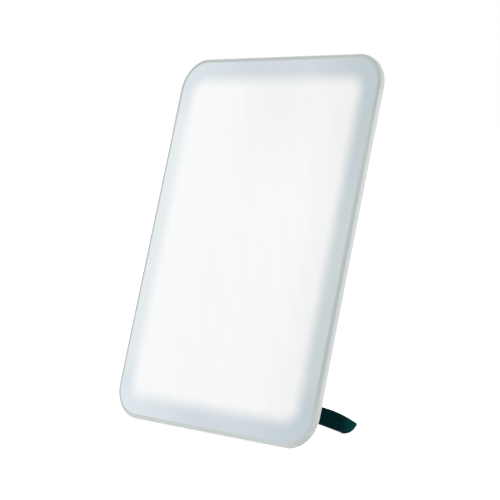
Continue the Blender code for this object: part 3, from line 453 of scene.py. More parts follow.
def glow_strength(tree, across, up, lit):
    """The light that comes out of the lit part, and painted light in the unlit border at its foot, standing in for
    light from below.
    """
    streaks = noise(tree, upright_place(tree, STREAK_SCALE, STREAK_TURN), 1.0, 3.0)
    glow = fade(tree, streaks, *NOISE_RANGE, *GLOW)
    right = fade(tree, across, *RIGHT_GLOW_ACROSS)
    left = fade(tree, across, *LEFT_ACROSS)
    top = reckon(tree, "MULTIPLY", fade(tree, up, *TOP_GLOW_UP),
                 fade(tree, across, *TOP_GLOW_ACROSS, TOP_LEFT_GLOW_SHARE, 1.0))
    for share, loss in ((right, RIGHT_GLOW_LOSS), (left, LEFT_GLOW_LOSS), (top, TOP_GLOW_LOSS)):
        glow = reckon(tree, "SUBTRACT", glow, reckon(tree, "MULTIPLY", share, loss))
    # Painted light near the foot of the unlit border
    painted_foot_light = reckon(tree, "ADD", fade(tree, up, *PAINTED_LIGHT_OVER_FOOT), fade(tree, up, *PAINTED_LIGHT_AT_FOOT))
    painted_foot_light = reckon(tree, "MULTIPLY", reckon(tree, "SUBTRACT", 1.0, lit), painted_foot_light)
    return reckon(tree, "ADD", reckon(tree, "MULTIPLY", lit, glow), painted_foot_light)


def lit_cover_finish():
    """Milky acrylic with light behind it, a dim border and a frosted rim, with painted light and shade on its
    border, rim and side.
    """
    material, tree, shader = start_finish("lit_acrylic")
    place, across, back, up = panel_axes(tree)
    patches = noise(tree, place, PATCH_SCALE)
    lit = lit_share(tree, across, up, patches)
    # The border, rim and side colours carry painted light and shade
    body = blend_colours(tree, lit, border_colour_with_painted_light(tree, across, up, patches), LIT_BODY)
    outline = (0.0, HALF_HEIGHT), (HALF_WIDTH, HALF_HEIGHT), PANEL_CORNER_RADIUS
    rim = fade(tree, edge_distance(tree, across, up, *outline), *RIM_INSIDE)
    body = blend_colours(tree, rim, body, rim_shade(tree, across, up))
    side = fade(tree, back, *FACE_TO_SIDE_BACK)
    body = blend_colours(tree, side, body, side_colour_and_shade(tree, across, back, up))
    tree.links.new(body, shader.inputs["Base Color"])
    glow = grey_of(tree, glow_strength(tree, across, up, lit))
    tree.links.new(glow, shader.inputs["Emission Color"])
    shader.inputs["Emission Strength"].default_value = 1.0
    grain = noise(tree, place, COVER_GRAIN, GRAIN_DETAIL)
    gloss = fade(tree, grain, *NOISE_RANGE, *COVER_ROUGHNESS)
    tree.links.new(gloss, shader.inputs["Roughness"])
    add_bump(tree, shader, grain, COVER_GRAIN_DEPTH, COVER_GRAIN_STRENGTH)
    shader.inputs["Specular IOR Level"].default_value = COVER_SPECULAR
    return material


def add_grain(tree, shader, place, grain, roughness, depth, specular, spread=GLOSS_SPREAD):
    """Fine grain in a surface's height and gloss, and how strongly it mirrors."""
    fine = noise(tree, place, grain, GRAIN_DETAIL, GRAIN_ROUGHNESS)
    gloss = fade(tree, fine, *NOISE_RANGE, roughness - spread, roughness + spread)
    tree.links.new(gloss, shader.inputs["Roughness"])
    add_bump(tree, shader, fine, depth, GRAIN_STRENGTH)
    shader.inputs["Specular IOR Level"].default_value = specular


def plain_finish(name, colour, roughness, metallic=0.0, grain=900.0, depth=0.00003, shift=0.06,
                 specular=0.5, stretch=(1.0, 1.0, 1.0), clear=0.0):
    """A moulded, cast or drawn surface, with fine grain and a faint unevenness of colour."""
    material, tree, shader = start_finish(name)
    place = upright_place(tree, stretch)
    clouds = fade(tree, noise(tree, place, grain / GRAINS_PER_CLOUD, GRAIN_DETAIL), *NOISE_RANGE)
    low = (*[share * (1 - shift) for share in colour[:3]], 1.0)
    high = (*[min(share * (1 + shift), 1.0) for share in colour[:3]], 1.0)
    tree.links.new(blend_colours(tree, clouds, low, high), shader.inputs["Base Color"])
    add_grain(tree, shader, place, grain, roughness, depth, specular)
    shader.inputs["Metallic"].default_value = metallic
    shader.inputs["Transmission Weight"].default_value = clear
    return material


def case_finish():
    """Pale grey satin plastic with the fine sparked texture of its mould, and painted shade where its side goes
    round the corners.
    """
    material, tree, shader = start_finish("case_satin")
    place, across, back, up = panel_axes(tree)
    clouds = noise(tree, place, CLOUD_SCALE, GRAIN_DETAIL)
    shade = grey_of(tree, fade(tree, clouds, *NOISE_RANGE, *CASE_CLOUDS))
    colour = blend_colours(tree, 1.0, side_colour_and_shade(tree, across, back, up), shade, "MULTIPLY")
    tree.links.new(colour, shader.inputs["Base Color"])
    add_grain(tree, shader, place, grain=1800.0, roughness=0.50, depth=0.00003, specular=0.35)
    return material


def leg_finish():
    """Very dark teal plastic, with a painted sheen that makes it softly lighter towards the toe and tip."""
    material, tree, shader = start_finish("leg_teal")
    place, _, depth, _ = panel_axes(tree)
    clouds = fade(tree, noise(tree, place, CLOUD_SCALE), *CLOUD_RANGE, *LEG_CLOUDS)
    # Painted sheen: lighter teal towards the toe and tip
    toe = reckon(tree, "MULTIPLY", fade(tree, depth, *LEG_TOE_SHEEN_BACK), clouds)
    colour = blend_colours(tree, toe, LEG_TEAL, LEG_TOE_SHEEN)
    colour = blend_colours(tree, fade(tree, depth, *LEG_TIP_SHEEN_BACK), colour, LEG_TIP_SHEEN)
    tree.links.new(colour, shader.inputs["Base Color"])
    add_grain(tree, shader, place, grain=1500.0, roughness=0.56, depth=0.00002, specular=0.012,
              spread=0.04)
    shader.inputs["Specular Tint"].default_value = LEG_TINT
    return material


def board_finish():
    """Green solder mask with paler copper tracks under it."""
    material, tree, shader = start_finish("solder_mask")
    place = upright_place(tree, turn=math.radians(90))
    axes = add_node(tree, "ShaderNodeSeparateXYZ", {"Vector": place}).outputs
    flat = add_node(tree, "ShaderNodeCombineXYZ", {"X": axes["X"], "Y": axes["Z"]})
    inputs = {"Vector": flat.outputs["Vector"], "Mortar": TRACK_GREEN, "Scale": 1.0,
              "Mortar Size": TRACK_WIDTH, "Mortar Smooth": TRACK_SOFTNESS,
              "Brick Width": TRACK_LENGTH, "Row Height": TRACK_PITCH, **MASK_GREENS}
    tracks = add_node(tree, "ShaderNodeTexBrick", inputs)
    tree.links.new(tracks.outputs["Color"], shader.inputs["Base Color"])
    add_bump(tree, shader, tracks.outputs["Fac"], TRACK_RISE, TRACK_STRENGTH)
    shader.inputs["Roughness"].default_value = BOARD_ROUGHNESS
    return material


FINISHES = {
    "lit_cover": lit_cover_finish(),
    "case_plastic": case_finish(),
    "leg_plastic": leg_finish(),
    "button_plastic": plain_finish("button_satin", linear(196, 203, 202), 0.42,
                                   grain=1800.0, shift=0.015),
    "rubber": plain_finish("rubber_matte", linear(40, 42, 42), 0.85,
                           grain=2600.0, depth=0.00006, specular=0.3),
    "clear_silicone": plain_finish("silicone_frosted", linear(240, 243, 243), 0.40,
                                   grain=2600.0, shift=0.01, clear=0.85),
    "frame_plastic": plain_finish("frame_white", linear(232, 232, 230), 0.60, shift=0.02),
    "optical_film": plain_finish("film_satin", linear(236, 239, 241), 0.30,
                                 grain=400.0, shift=0.01),
    "light_guide": plain_finish("guide_acrylic", linear(226, 236, 238), 0.12,
                                grain=500.0, shift=0.02, clear=0.8),
    "aluminium": plain_finish("aluminium_mill", linear(205, 207, 209), 0.35, metallic=1.0,
                              grain=700.0, depth=0.00002, shift=0.04, stretch=(1.0, 1.0, 12.0)),
    "strip_board": plain_finish("white_mask", linear(236, 236, 230), 0.45, shift=0.02),
    "wire_sleeve": plain_finish("wire_red", linear(178, 34, 28), 0.45, shift=0.05),
    "circuit_board": board_finish(),
    "ferrite": plain_finish("ferrite_grey", linear(48, 48, 49), 0.70,
                            grain=1500.0, depth=0.00008, shift=0.15),
    "can_sleeve": plain_finish("can_blue", linear(30, 36, 66), 0.30, shift=0.05),
    "black_resin": plain_finish("resin_black", linear(26, 26, 27), 0.50,
                                grain=1600.0, shift=0.08, specular=0.3),
    "connector_nylon": plain_finish("nylon_cream", linear(231, 226, 208), 0.50, shift=0.03),
    "steel": plain_finish("steel_zinc", linear(188, 190, 193), 0.28, metallic=1.0,
                          grain=1200.0, depth=0.00002, shift=0.08),
    "brass": plain_finish("brass_turned", linear(214, 178, 104), 0.28, metallic=1.0,
                          grain=1000.0, depth=0.00002, shift=0.08, stretch=(1.0, 1.0, 6.0)),
}
SLOTS = {part["node"]: part["material_slot"] for part in frame["record"]["subparts"]}


# Modelling steps

def leave_edit_mode():
    """Leave edit mode, with nothing selected."""
    if bpy.context.object and bpy.context.object.mode == "EDIT":
        bpy.ops.object.mode_set(mode="OBJECT")
    bpy.ops.object.select_all(action="DESELECT")


def only(piece):
    """Leave edit mode and select one object alone."""
    leave_edit_mode()
    piece.select_set(True)
    bpy.context.view_layer.objects.active = piece


def open_mesh(name):
    """Name the new primitive, put its place in its mesh and open it for editing."""
    piece = bpy.context.object
    piece.name = name
    bpy.ops.object.transform_apply(location=True, rotation=True, scale=True)
    bpy.ops.object.mode_set(mode="EDIT")
    bpy.ops.mesh.select_all(action="DESELECT")
    return piece


def start_block(name, low, high):
    """A box between two corners, in edit mode with nothing selected."""
    low, high = Vector(low), Vector(high)
    leave_edit_mode()
    bpy.ops.mesh.primitive_cube_add(size=1, location=(low + high) / 2, scale=high - low)
    return open_mesh(name)


def pick(piece, kind, test):
    """Select the faces or edges whose middle and direction pass a test."""
    bpy.ops.mesh.select_mode(type=kind)
    bpy.ops.mesh.select_all(action="DESELECT")
    shape = bmesh.from_edit_mesh(piece.data)
    for part in shape.faces if kind == "FACE" else shape.edges:
        if kind == "FACE":
            middle, way = part.calc_center_median(), part.normal
        else:
            start, end = (vertex.co for vertex in part.verts)
            middle, way = (start + end) / 2, (end - start).normalized()
        if test(middle, way):
            part.select_set(True)
    shape.select_flush_mode()
    bmesh.update_edit_mesh(piece.data)


def lies_across(middle, way, axis, place):
    """Whether an edge lies in the plane across an axis at a place on it."""
    return abs(middle[axis] - place) < NEAR and abs(way[axis]) < ACROSS


def pick_face(piece, axis, place, sign):
    """Select the flat face that looks along an axis at a place on it."""
    pick(piece, "FACE",
         lambda middle, way: abs(middle[axis] - place) < NEAR and way[axis] * sign > ALONG)


def bevel_along(piece, axis, width, steps):
    """Round the edges that run along an axis."""
    pick(piece, "EDGE", lambda middle, way: abs(way[axis]) > ALONG)
    bpy.ops.mesh.bevel(offset=width, segments=steps, affect="EDGES")


def bevel_ring(piece, axis, place, width, steps):
    """Round the edges that lie in one plane across an axis."""
    pick(piece, "EDGE", lambda middle, way: lies_across(middle, way, axis, place))
    bpy.ops.mesh.bevel(offset=width, segments=steps, affect="EDGES")


def draw_face(offset, scale=(1.0, 1.0, 1.0), centre=None):
    """Extrude the selected face by an offset, and then scale it about a centre."""
    bpy.ops.mesh.extrude_region_move(TRANSFORM_OT_translate={"value": offset})
    if centre is not None:
        bpy.ops.transform.resize(value=scale, center_override=centre)


def arc(depth, inset, reach, width, first, last):
    """(depth, inset) pairs round an ellipse about a centre, by angle from first to last.

    The angle is 0 where the ellipse faces outwards.
    """
    pairs = []
    for step in range(EDGE_STEPS + 1):
        angle = first + (last - first) * step / EDGE_STEPS
        pairs.append((depth + reach * math.sin(angle), inset - width * math.cos(angle)))
    return pairs


def draw_in(depth, inset, pairs):
    """Draw the selected face, at a depth and inset, through the given ones in turn."""
    for next_depth, next_inset in pairs:
        bpy.ops.mesh.inset(thickness=next_inset - inset, depth=abs(next_depth - depth))
        depth, inset = next_depth, next_inset


def turned(name, axis, centre, profile, sides=TURNED_SIDES):
    """A turned solid round an axis, from pairs of place along the axis and radius."""
    turns = {DEPTH: (math.pi / 2, 0.0, 0.0), UP: (0.0, 0.0, 0.0)}
    place, radius = profile[0]
    spot = list(centre)
    spot[axis] = place
    leave_edit_mode()
    bpy.ops.mesh.primitive_circle_add(vertices=sides, radius=radius, fill_type="NGON",
                                      location=spot, rotation=turns[axis])
    piece = open_mesh(name)
    bpy.ops.mesh.select_mode(type="FACE")
    bpy.ops.mesh.select_all(action="SELECT")
    for next_place, next_radius in profile[1:]:
        offset = [0.0, 0.0, 0.0]
        offset[axis] = next_place - place
        spot[axis] = next_place
        draw_face(offset, [next_radius / radius] * 3, spot)
        place, radius = next_place, next_radius
    bpy.ops.mesh.select_all(action="SELECT")
    bpy.ops.mesh.normals_make_consistent(inside=False)
    bpy.ops.mesh.select_all(action="DESELECT")
    return piece


def chamfered(low, high, radius, edge):
    """The profile of a rod whose two ends have a small chamfer."""
    return [(low, radius - edge), (low + edge, radius), (high - edge, radius),
            (high, radius - edge)]


def apply_step(piece, kind, **settings):
    """Add one modifier to a piece and apply it."""
    only(piece)
    step = piece.modifiers.new("step", kind)
    for name, value in settings.items():
        setattr(step, name, value)
    bpy.ops.object.modifier_apply(modifier=step.name)


def cut_away(piece, *tools):
    for tool in tools:
        apply_step(piece, "BOOLEAN", object=tool, operation="DIFFERENCE", solver="EXACT")
        bpy.data.objects.remove(tool, do_unlink=True)


def merge_in(piece, other):
    apply_step(piece, "BOOLEAN", object=other, operation="UNION", solver="EXACT")
    bpy.data.objects.remove(other, do_unlink=True)


def put_in_place(piece, place):
    """Move an upright piece to its place, and keep its object at the origin."""
    only(piece)
    piece.matrix_world = place
    bpy.ops.object.transform_apply(location=True, rotation=True, scale=True)


def settle(piece, body, node, place=PANEL):
    """Put a finished piece in its place, shade and dress it, and let it stand for its CAD node."""
    put_in_place(piece, place)
    bpy.ops.object.shade_smooth_by_angle(angle=SMOOTH_ANGLE)
    apply_step(piece, "WEIGHTED_NORMAL", keep_sharp=True)
    piece.data.materials.clear()
    piece.data.materials.append(FINISHES[SLOTS[node]])
    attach(piece, body)
    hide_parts(node)


def side_name(stem, side):
    return stem + ("_right" if side > 0 else "_left")


def span(side, inner, outer):
    """Left and right limits of what lies between two distances from the middle, on one side."""
    return (inner, outer) if side > 0 else (-outer, -inner)


# Front cover

def make_front_cover():
    low, high = upright_box("front_cover")
    rim_back = low.y + COVER_RIM_DEPTH
    edge_back = low.y + COVER_EDGE_DEPTH
    cover = start_block("lit_front_cover", (low.x, edge_back, low.z), (high.x, rim_back, high.z))
    bevel_along(cover, DEPTH, PANEL_CORNER_RADIUS, CORNER_STEPS)
    bevel_ring(cover, DEPTH, rim_back, SEAM_EDGE, SEAM_STEPS)
    pick_face(cover, DEPTH, edge_back, -1)
    edge = arc(edge_back, COVER_EDGE_WIDTH, COVER_EDGE_DEPTH, COVER_EDGE_WIDTH, 0.0, -math.pi / 2)
    draw_in(edge_back, 0.0, edge[1:])
    pick_face(cover, DEPTH, rim_back, 1)
    bpy.ops.mesh.inset(thickness=COVER_LIP_INSET - SEAM_EDGE)
    draw_face((0.0, high.y - rim_back, 0.0))
    bpy.ops.mesh.inset(thickness=COVER_LIP_WIDTH)
    draw_face((0.0, COVER_THICKNESS - high.y, 0.0))
    settle(cover, "panel", "front_cover")


# Rear case

def on_outline(point):
    """Whether a point lies on the panel's own outline and not further in."""
    across = abs(point.x) - (HALF_WIDTH - PANEL_CORNER_RADIUS)
    up = abs(point.z - HALF_HEIGHT) - (HALF_HEIGHT - PANEL_CORNER_RADIUS)
    away = math.hypot(max(across, 0.0), max(up, 0.0)) + min(max(across, up), 0.0)
    return away > PANEL_CORNER_RADIUS - CASE_WALL / 4


def make_case_shell():
    """The case's side, edge, slope and back as one wall, closed all round at its front edge."""
    low, high = upright_box("rear_case")
    front = low.y - GAP + SEAM_GAP
    case = start_block("rear_case_shell", (low.x, front, low.z),
                       (high.x, CASE_SIDE_DEPTH, PANEL_HEIGHT))
    bevel_along(case, DEPTH, PANEL_CORNER_RADIUS, CORNER_STEPS)
    pick_face(case, DEPTH, CASE_SIDE_DEPTH, 1)
    radius = CASE_EDGE_RADIUS
    edge = arc(CASE_SIDE_DEPTH, radius, radius, radius, 0.0, CASE_SLOPE)
    edge_depth, edge_inset = edge[-1]
    radius = CASE_BACK_EDGE_RADIUS
    slope_depth = BACK - radius * (1 - math.sin(CASE_SLOPE))
    slope_inset = edge_inset + (slope_depth - edge_depth) * math.tan(CASE_SLOPE)
    flat_inset = slope_inset + radius * math.cos(CASE_SLOPE)
    back_edge = arc(BACK - radius, flat_inset, radius, radius, CASE_SLOPE, math.pi / 2)
    draw_in(CASE_SIDE_DEPTH, 0.0, edge[1:] + back_edge)
    pick_face(case, DEPTH, front, -1)
    bpy.ops.mesh.delete(type="ONLY_FACE")
    apply_step(case, "SOLIDIFY", thickness=CASE_WALL, offset=-1.0, use_even_offset=True,
               use_rim=True)
    bpy.ops.object.mode_set(mode="EDIT")
    pick(case, "EDGE",
         lambda middle, way: lies_across(middle, way, DEPTH, front) and on_outline(middle))
    bpy.ops.mesh.bevel(offset=SEAM_EDGE, segments=SEAM_STEPS, affect="EDGES")
    return case


def pocket_tool(low, high, radius):
    """A cutter for a rounded pocket in the case's back, whose mouth has a small chamfer."""
    grown = Vector((GAP, 0.0, GAP))
    tool = start_block("cutter", low - grown, high + grown)
    bevel_along(tool, DEPTH, radius + GAP, SMALL_STEPS)
    pick_face(tool, DEPTH, high.y, 1)
    bpy.ops.transform.translate(value=(0.0, BACK - MOUTH_FLARE - high.y, 0.0))
    middle = (low + high) / 2
    middle.y = BACK + MOUTH_FLARE
    size = high - low + 2 * grown
    scale = (1 + 4 * MOUTH_FLARE / size.x, 1.0, 1 + 4 * MOUTH_FLARE / size.z)
    draw_face((0.0, 2 * MOUTH_FLARE, 0.0), scale, middle)
    return tool


def foot_tool(node, radius):
    """A cutter for the socket of a foot, which stands square to the table."""
    low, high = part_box(node)
    grown = Vector((GAP, GAP, GAP))
    tool = start_block("cutter", low - grown - Vector((0.0, 0.0, OVERRUN)), high + grown)
    bevel_along(tool, UP, radius + GAP, SMALL_STEPS)
    put_in_place(tool, UPRIGHT)
    return tool


def bore_tool(centre, low, high, sides=SMALL_SIDES):
    """A cutter for a hinge pin's bore that runs past both ends."""
    bore = PIN_RADIUS + GAP
    return turned("cutter", UP, centre, [(low - OVERRUN, bore), (high + OVERRUN, bore)], sides)


def well_walls(side):
    """Lowest and highest corner of a leg's well, without its flange."""
    low, high = upright_box(side_name("leg_well", side))
    inner, outer = (low.x, high.x) if side > 0 else (-high.x, -low.x)
    left, right = span(side, inner + WELL_FLANGE_WIDTH, outer)
    return Vector((left, low.y, low.z)), Vector((right, high.y, high.z - WELL_FLANGE_WIDTH))


def make_rear_case():
    case = make_case_shell()
    tools = []
    for side in (-1, 1):
        low, high = well_walls(side)
        low.y = FLANGE_BACK - HOLE_DEPTH
        tools.append(pocket_tool(low, high, WELL_CORNER_RADIUS))
        tools.append(foot_tool(side_name("bumper", side), BUMPER_CORNER_RADIUS))
    low, high = upright_box("dc_jack")
    low.y = BACK - HOLE_DEPTH
    tools.append(pocket_tool(low, high, JACK_CORNER_RADIUS))
    hole = BUTTON_RADIUS + GAP
    profile = [(BACK - HOLE_DEPTH, hole), (BACK - HOLE_EDGE, hole), (BACK, hole + HOLE_EDGE),
               (BACK + OVERRUN, hole + HOLE_EDGE)]
    tools.append(turned("cutter", DEPTH, upright_middle("power_button"), profile))
    seat = BACK - SCREW_HEAD_HEIGHT - GAP
    head = SCREW_HEAD_RADIUS + GAP
    shank = SCREW_SHANK_RADIUS + GAP
    profile = [(BACK - HOLE_DEPTH, shank), (seat, shank), (seat, head), (BACK - GAP, head),
               (BACK, head + GAP), (BACK + OVERRUN, head + GAP)]
    for node in SLOTS:
        if node.startswith("case_screw"):
            tools.append(turned("cutter", DEPTH, upright_middle(node), profile, SMALL_SIDES))
    cut_away(case, *tools)
    settle(case, "panel", "rear_case")


# Legs, their wells and what turns in them

def make_well(side):
    name = side_name("leg_well", side)
    low, high = well_walls(side)
    well = start_block(name + "_tray", low, high)
    bevel_along(well, DEPTH, WELL_CORNER_RADIUS, EDGE_STEPS)
    bevel_ring(well, DEPTH, high.y, WELL_EDGE / 2, SEAM_STEPS)
    pick_face(well, DEPTH, high.y, 1)
    bpy.ops.mesh.inset(thickness=WELL_WALL - WELL_EDGE / 2)
    draw_face((0.0, low.y + WELL_FLOOR - high.y, 0.0))
    mouth = WELL_WALL - WELL_EDGE / 4

    def at_mouth(middle, way):
        within = all(low[axis] + mouth < middle[axis] < high[axis] - mouth for axis in (0, UP))
        return within and lies_across(middle, way, DEPTH, high.y)

    pick(well, "EDGE", at_mouth)
    bpy.ops.mesh.bevel(offset=WELL_EDGE, segments=RING_STEPS, affect="EDGES")
    node_low, node_high = upright_box(name)
    left, right = node_low.x, node_high.x
    if side > 0:
        right = high.x - WELL_WALL
    else:
        left = low.x + WELL_WALL
    flange_front = FLANGE_BACK - WELL_FLANGE_THICKNESS
    flange = start_block("flange", (left, flange_front, low.z + WELL_WALL),
                         (right, FLANGE_BACK, node_high.z))
    wall = Vector((WELL_WALL / 2, 0.0, WELL_WALL / 2))
    start, end = low + wall, high - wall
    start.y, end.y = flange_front - OVERRUN, FLANGE_BACK + OVERRUN
    cut_away(flange, start_block("cutter", start, end))
    merge_in(well, flange)
    centre = upright_middle(side_name("hinge_pin", side))
    cut_away(well, bore_tool(centre, low.z, node_high.z))
    settle(well, "panel", name)


def leg_stations(low, high, hinge):
    """Half width, depth, bottom and top of the leg's cross-sections, from its hinge to its tip."""
    half = (high.x - low.x) / 2
    root_bottom = high.z - LEG_ROOT_HEIGHT
    tip_top = high.z - LEG_TOP_FALL
    tip_bottom = tip_top - 2 * LEG_TIP_RADIUS
    toe_end = high.y - LEG_TIP_RADIUS * math.sin(LEG_TIP_SWEEP)
    toe_height = low.z + LEG_TOE_RADIUS
    chord = math.sqrt(LEG_TOE_RADIUS ** 2 - (toe_height - tip_bottom) ** 2)
    toe_depth = toe_end - chord
    shoulder = hinge + LEG_SHOULDER_REACH

    def top(depth):
        share = max(depth - shoulder, 0.0) / (toe_end - shoulder)
        return high.z - LEG_TOP_FALL * share ** 2

    stations = []
    for step in range(RUN_STEPS + 1):
        share = step / RUN_STEPS
        depth = hinge + (toe_depth - hinge) * share
        stations.append((half, depth, root_bottom + (low.z - root_bottom) * share, top(depth)))
    sweep = math.asin(chord / LEG_TOE_RADIUS)
    for step in range(1, TOE_STEPS + 1):
        angle = sweep * step / TOE_STEPS
        depth = toe_depth + LEG_TOE_RADIUS * math.sin(angle)
        stations.append((half, depth, toe_height - LEG_TOE_RADIUS * math.cos(angle), top(depth)))
    for step in range(1, SMALL_STEPS + 1):
        angle = LEG_TIP_SWEEP * step / SMALL_STEPS
        depth = toe_end + LEG_TIP_RADIUS * math.sin(angle)
        drop = LEG_TIP_RADIUS * (1 - math.cos(angle))
        width = half - LEG_EDGE_RADIUS * (1 - math.cos(angle))
        stations.append((width, depth, tip_bottom + drop, tip_top - drop))
    return stations


def make_leg(side):
    """A bar whose rounded cross-section is drawn out to the toe, and drawn in round its root."""
    name = side_name("leg", side)
    low, high = upright_box(name)
    pin = upright_middle(side_name("hinge_pin", side))
    stations = leg_stations(low, high, pin.y)
    half, hinge, bottom, top = stations[0]
    next_depth = stations[1][1]
    leg = start_block(name + "_body", (pin.x - half, hinge, bottom),
                      (pin.x + half, next_depth, top))
    bevel_along(leg, DEPTH, LEG_EDGE_RADIUS, SMALL_STEPS)
    pick_face(leg, DEPTH, hinge, -1)
    width, depth = half, hinge
    for step in range(1, EDGE_STEPS + 1):
        angle = LEG_ROOT_SWEEP * step / EDGE_STEPS
        next_width, next_back = half * math.cos(angle), hinge - half * math.sin(angle)
        centre = (pin.x, next_back, (bottom + top) / 2)
        draw_face((0.0, next_back - depth, 0.0), (next_width / width, 1.0, 1.0), centre)
        width, depth = next_width, next_back
    pick_face(leg, DEPTH, next_depth, 1)
    width, depth = half, next_depth
    for next_width, next_depth, next_bottom, next_top in stations[1:]:
        centre = (pin.x, next_depth, (next_bottom + next_top) / 2)
        scale = (next_width / width, 1.0, (next_top - next_bottom) / (top - bottom))
        rise = centre[2] - (bottom + top) / 2
        if next_depth > depth:
            draw_face((0.0, next_depth - depth, rise), scale, centre)
        else:
            bpy.ops.transform.translate(value=(0.0, 0.0, rise))
            bpy.ops.transform.resize(value=scale, center_override=centre)
        width, depth, bottom, top = next_width, next_depth, next_bottom, next_top
    cut_away(leg, bore_tool(pin, low.z, high.z),
             foot_tool(side_name("leg_pad", side), PAD_CORNER_RADIUS))
    settle(leg, name, name)


def make_foot(node, body, corner, edge):
    """A foot that stands square to the table."""
    low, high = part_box(node)
    foot = start_block(node + "_rubber", low, high)
    bevel_along(foot, UP, corner, SMALL_STEPS)
    bevel_ring(foot, UP, low.z, edge, RING_STEPS)
    settle(foot, body, node, Matrix.Identity(4))


def make_hinge(side):
    """The pin, and the spacer and friction washer on it."""
    node = side_name("hinge_pin", side)
    low, high = upright_box(node)
    centre = (low + high) / 2
    profile = chamfered(low.z, high.z, PIN_RADIUS, PIN_EDGE)
    settle(turned(node + "_turned", UP, centre, profile), "panel", node)
    for stem in ("hinge_spacer", "hinge_washer"):
        node = side_name(stem, side)
        low, high = upright_box(node)
        profile = chamfered(low.z, high.z, (high.x - low.x) / 2, RING_EDGE)
        ring = turned(node + "_turned", UP, centre, profile)
        cut_away(ring, bore_tool(centre, low.z, high.z, TURNED_SIDES))
        settle(ring, "panel", node)


# Small parts on the back

def make_button():
    low, high = upright_box("power_button")
    flange = (high.x - low.x) / 2
    flange_front = FLANGE_BACK - BUTTON_FLANGE_THICKNESS
    profile = [(low.y, BUTTON_NUB_RADIUS), (flange_front, BUTTON_NUB_RADIUS),
               (flange_front, flange), (FLANGE_BACK, flange), (FLANGE_BACK, BUTTON_RADIUS)]
    for step in range(EDGE_STEPS + 1):
        angle = math.pi / 2 * step / EDGE_STEPS
        profile.append((high.y - BUTTON_EDGE * (1 - math.sin(angle)),
                        BUTTON_RADIUS - BUTTON_EDGE * (1 - math.cos(angle))))
    for share in BUTTON_DISH_SHARES:
        profile.append((high.y - BUTTON_DISH * (1 - share ** 2), BUTTON_RADIUS * share))
    button = turned("power_button_cap", DEPTH, (low + high) / 2, profile)
    settle(button, "button", "power_button")


def make_jack():
    low, high = upright_box("dc_jack")
    jack = start_block("dc_jack_housing", low, high)
    bevel_along(jack, DEPTH, JACK_CORNER_RADIUS, SMALL_STEPS)
    bevel_ring(jack, DEPTH, high.y, JACK_EDGE, RING_STEPS)
    mouth = JACK_BORE_RADIUS + HOLE_EDGE
    bore = [(high.y - JACK_BORE_DEPTH, JACK_BORE_RADIUS), (high.y - HOLE_EDGE, JACK_BORE_RADIUS),
            (high.y, mouth), (high.y + OVERRUN, mouth)]
    cut_away(jack, turned("cutter", DEPTH, (low + high) / 2, bore))
    settle(jack, "panel", "dc_jack")
    low, high = upright_box("dc_jack_pin")
    radius = (high.x - low.x) / 2
    profile = [(low.y, radius)]
    profile += [(high.y - radius * below, radius * width) for below, width in PIN_TIP_SHARES]
    pin = turned("dc_jack_centre_pin", DEPTH, (low + high) / 2, profile, SMALL_SIDES)
    settle(pin, "panel", "dc_jack_pin")


def make_case_screws():
    """One cross-recessed screw, copied to every place and turned as it was driven home."""
    low, high = upright_box("case_screw_1")
    centre = (low + high) / 2
    seat = high.y - SCREW_HEAD_HEIGHT + GAP
    profile = [(low.y, SCREW_SHANK_RADIUS - SCREW_EDGE), (low.y + SCREW_EDGE, SCREW_SHANK_RADIUS),
               (seat, SCREW_SHANK_RADIUS), (seat, SCREW_HEAD_RADIUS)]
    profile += [(high.y - SCREW_EDGE * below, SCREW_HEAD_RADIUS - SCREW_EDGE * inside)
                for below, inside in SCREW_DOME_SHARES]
    screw = turned("case_screw_pattern", DEPTH, centre, profile, SMALL_SIDES)
    spot = Vector((centre.x, high.y, centre.z))
    tools = []
    for across, up in ((RECESS_SPAN, RECESS_WIDTH), (RECESS_WIDTH, RECESS_SPAN)):
        half = Vector((across / 2, 0.0, up / 2))
        tools.append(start_block("cutter", spot - half - Vector((0.0, RECESS_DEPTH, 0.0)),
                                 spot + half + Vector((0.0, OVERRUN, 0.0))))
    cut_away(screw, *tools)
    nodes = [node for node in SLOTS if node.startswith("case_screw")]
    for number, node in enumerate(nodes, 1):
        copy = bpy.data.objects.new(node + "_cross", screw.data.copy())
        bpy.context.collection.objects.link(copy)
        turn = Matrix.Rotation(RECESS_TURN * number, 4, "Y") @ Matrix.Translation(-centre)
        copy.data.transform(Matrix.Translation(upright_middle(node)) @ turn)
        settle(copy, "panel", node)
    bpy.data.objects.remove(screw, do_unlink=True)


def dress_inner_nodes():
    """Give each CAD node the finish of its slot in the record."""
    for name, slot in SLOTS.items():
        node = frame["nodes"][name]
        node.data.materials.clear()
        node.data.materials.append(FINISHES[slot])


# Floor, light and camera

def seen_by_camera(tree):
    """1 for what the camera sees, mirrored and through glass too, and 0 for light on the lamp."""
    rays = add_node(tree, "ShaderNodeLightPath", {}).outputs
    mirrored = reckon(tree, "MAXIMUM", rays["Is Glossy Ray"], rays["Is Transmission Ray"])
    return reckon(tree, "MAXIMUM", rays["Is Camera Ray"], mirrored)


def make_floor():
    bpy.ops.object.select_all(action="DESELECT")
    bpy.ops.mesh.primitive_plane_add(size=FLOOR_SIZE)
    floor = bpy.context.object
    floor.name = "floor"
    material = bpy.data.materials.new("floor_white")
    material.use_nodes = True
    tree = material.node_tree
    tree.nodes.clear()
    shade = (*[FLOOR_SHADE] * 3, 1.0)
    matte = add_node(tree, "ShaderNodeBsdfDiffuse", {"Color": shade}).outputs[0]
    strength = reckon(tree, "MULTIPLY", seen_by_camera(tree), FLOOR_LIFT)
    lift = add_node(tree, "ShaderNodeEmission", {"Color": WHITE, "Strength": strength}).outputs[0]
    both = add_node(tree, "ShaderNodeAddShader", {0: matte, 1: lift}).outputs[0]
    add_node(tree, "ShaderNodeOutputMaterial", {"Surface": both})
    floor.data.materials.append(material)


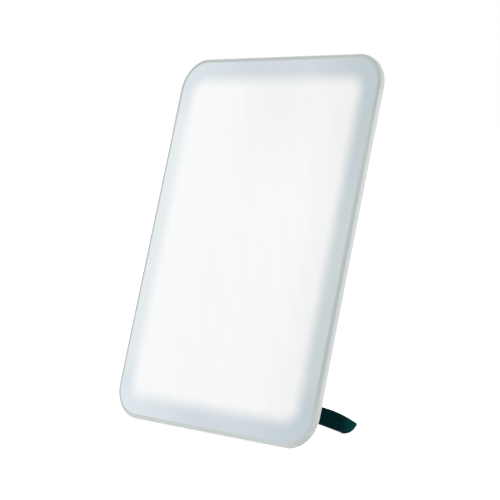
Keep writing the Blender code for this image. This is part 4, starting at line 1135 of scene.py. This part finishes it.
def make_world():
    world = bpy.data.worlds.new("studio")
    bpy.context.scene.world = world
    world.use_nodes = True
    tree = world.node_tree
    tree.nodes.clear()
    skies = [add_node(tree, "ShaderNodeBackground", {"Color": WHITE, "Strength": strength})
             for strength in (SKY_ON_LAMP, SKY_SEEN)]
    inputs = {0: seen_by_camera(tree), 1: skies[0].outputs[0], 2: skies[1].outputs[0]}
    mixed = add_node(tree, "ShaderNodeMixShader", inputs).outputs[0]
    add_node(tree, "ShaderNodeOutputWorld", {"Surface": mixed})


def add_soft_box(name, place, watts):
    """A square soft box that looks at the lamp."""
    light = bpy.data.lights.new(name, "AREA")
    light.size = SOFT_BOX_SIZE
    light.energy = watts
    box = bpy.data.objects.new(name, light)
    bpy.context.collection.objects.link(box)
    box.location = place
    box.rotation_euler = (Vector(SOFT_BOX_AIM) - Vector(place)).to_track_quat("-Z", "Y").to_euler()


def make_camera():
    yaw, pitch = CAMERA_YAW, CAMERA_PITCH
    right = Vector((math.cos(yaw), math.sin(yaw), 0.0))
    back = Vector((math.sin(yaw) * math.cos(pitch), -math.cos(yaw) * math.cos(pitch),
                   math.sin(pitch)))
    up = back.cross(right)
    data = bpy.data.cameras.new("camera")
    data.lens = CAMERA_LENS
    data.sensor_width = SENSOR_WIDTH
    data.shift_y = CAMERA_SHIFT_UP
    camera = bpy.data.objects.new("camera", data)
    bpy.context.collection.objects.link(camera)
    aim = PANEL.translation + right * CAMERA_AIM_RIGHT + up * CAMERA_AIM_UP
    turn = Matrix((right, up, back)).transposed().to_4x4()
    camera.matrix_world = Matrix.Translation(aim + back * CAMERA_DISTANCE) @ turn
    bpy.context.scene.camera = camera


make_camera()
dress_inner_nodes()
make_front_cover()
make_rear_case()
for side in (-1, 1):
    make_well(side)
    make_leg(side)
    make_hinge(side)
    make_foot(side_name("leg_pad", side), side_name("leg", side), PAD_CORNER_RADIUS, PAD_EDGE)
    make_foot(side_name("bumper", side), "panel", BUMPER_CORNER_RADIUS, BUMPER_EDGE)
make_button()
make_jack()
make_case_screws()
make_floor()
make_world()
add_soft_box("key", KEY_PLACE, KEY_WATTS)
add_soft_box("fill", FILL_PLACE, FILL_WATTS)
bpy.context.scene.view_settings.view_transform = "Standard"

bpy.context.view_layer.update()
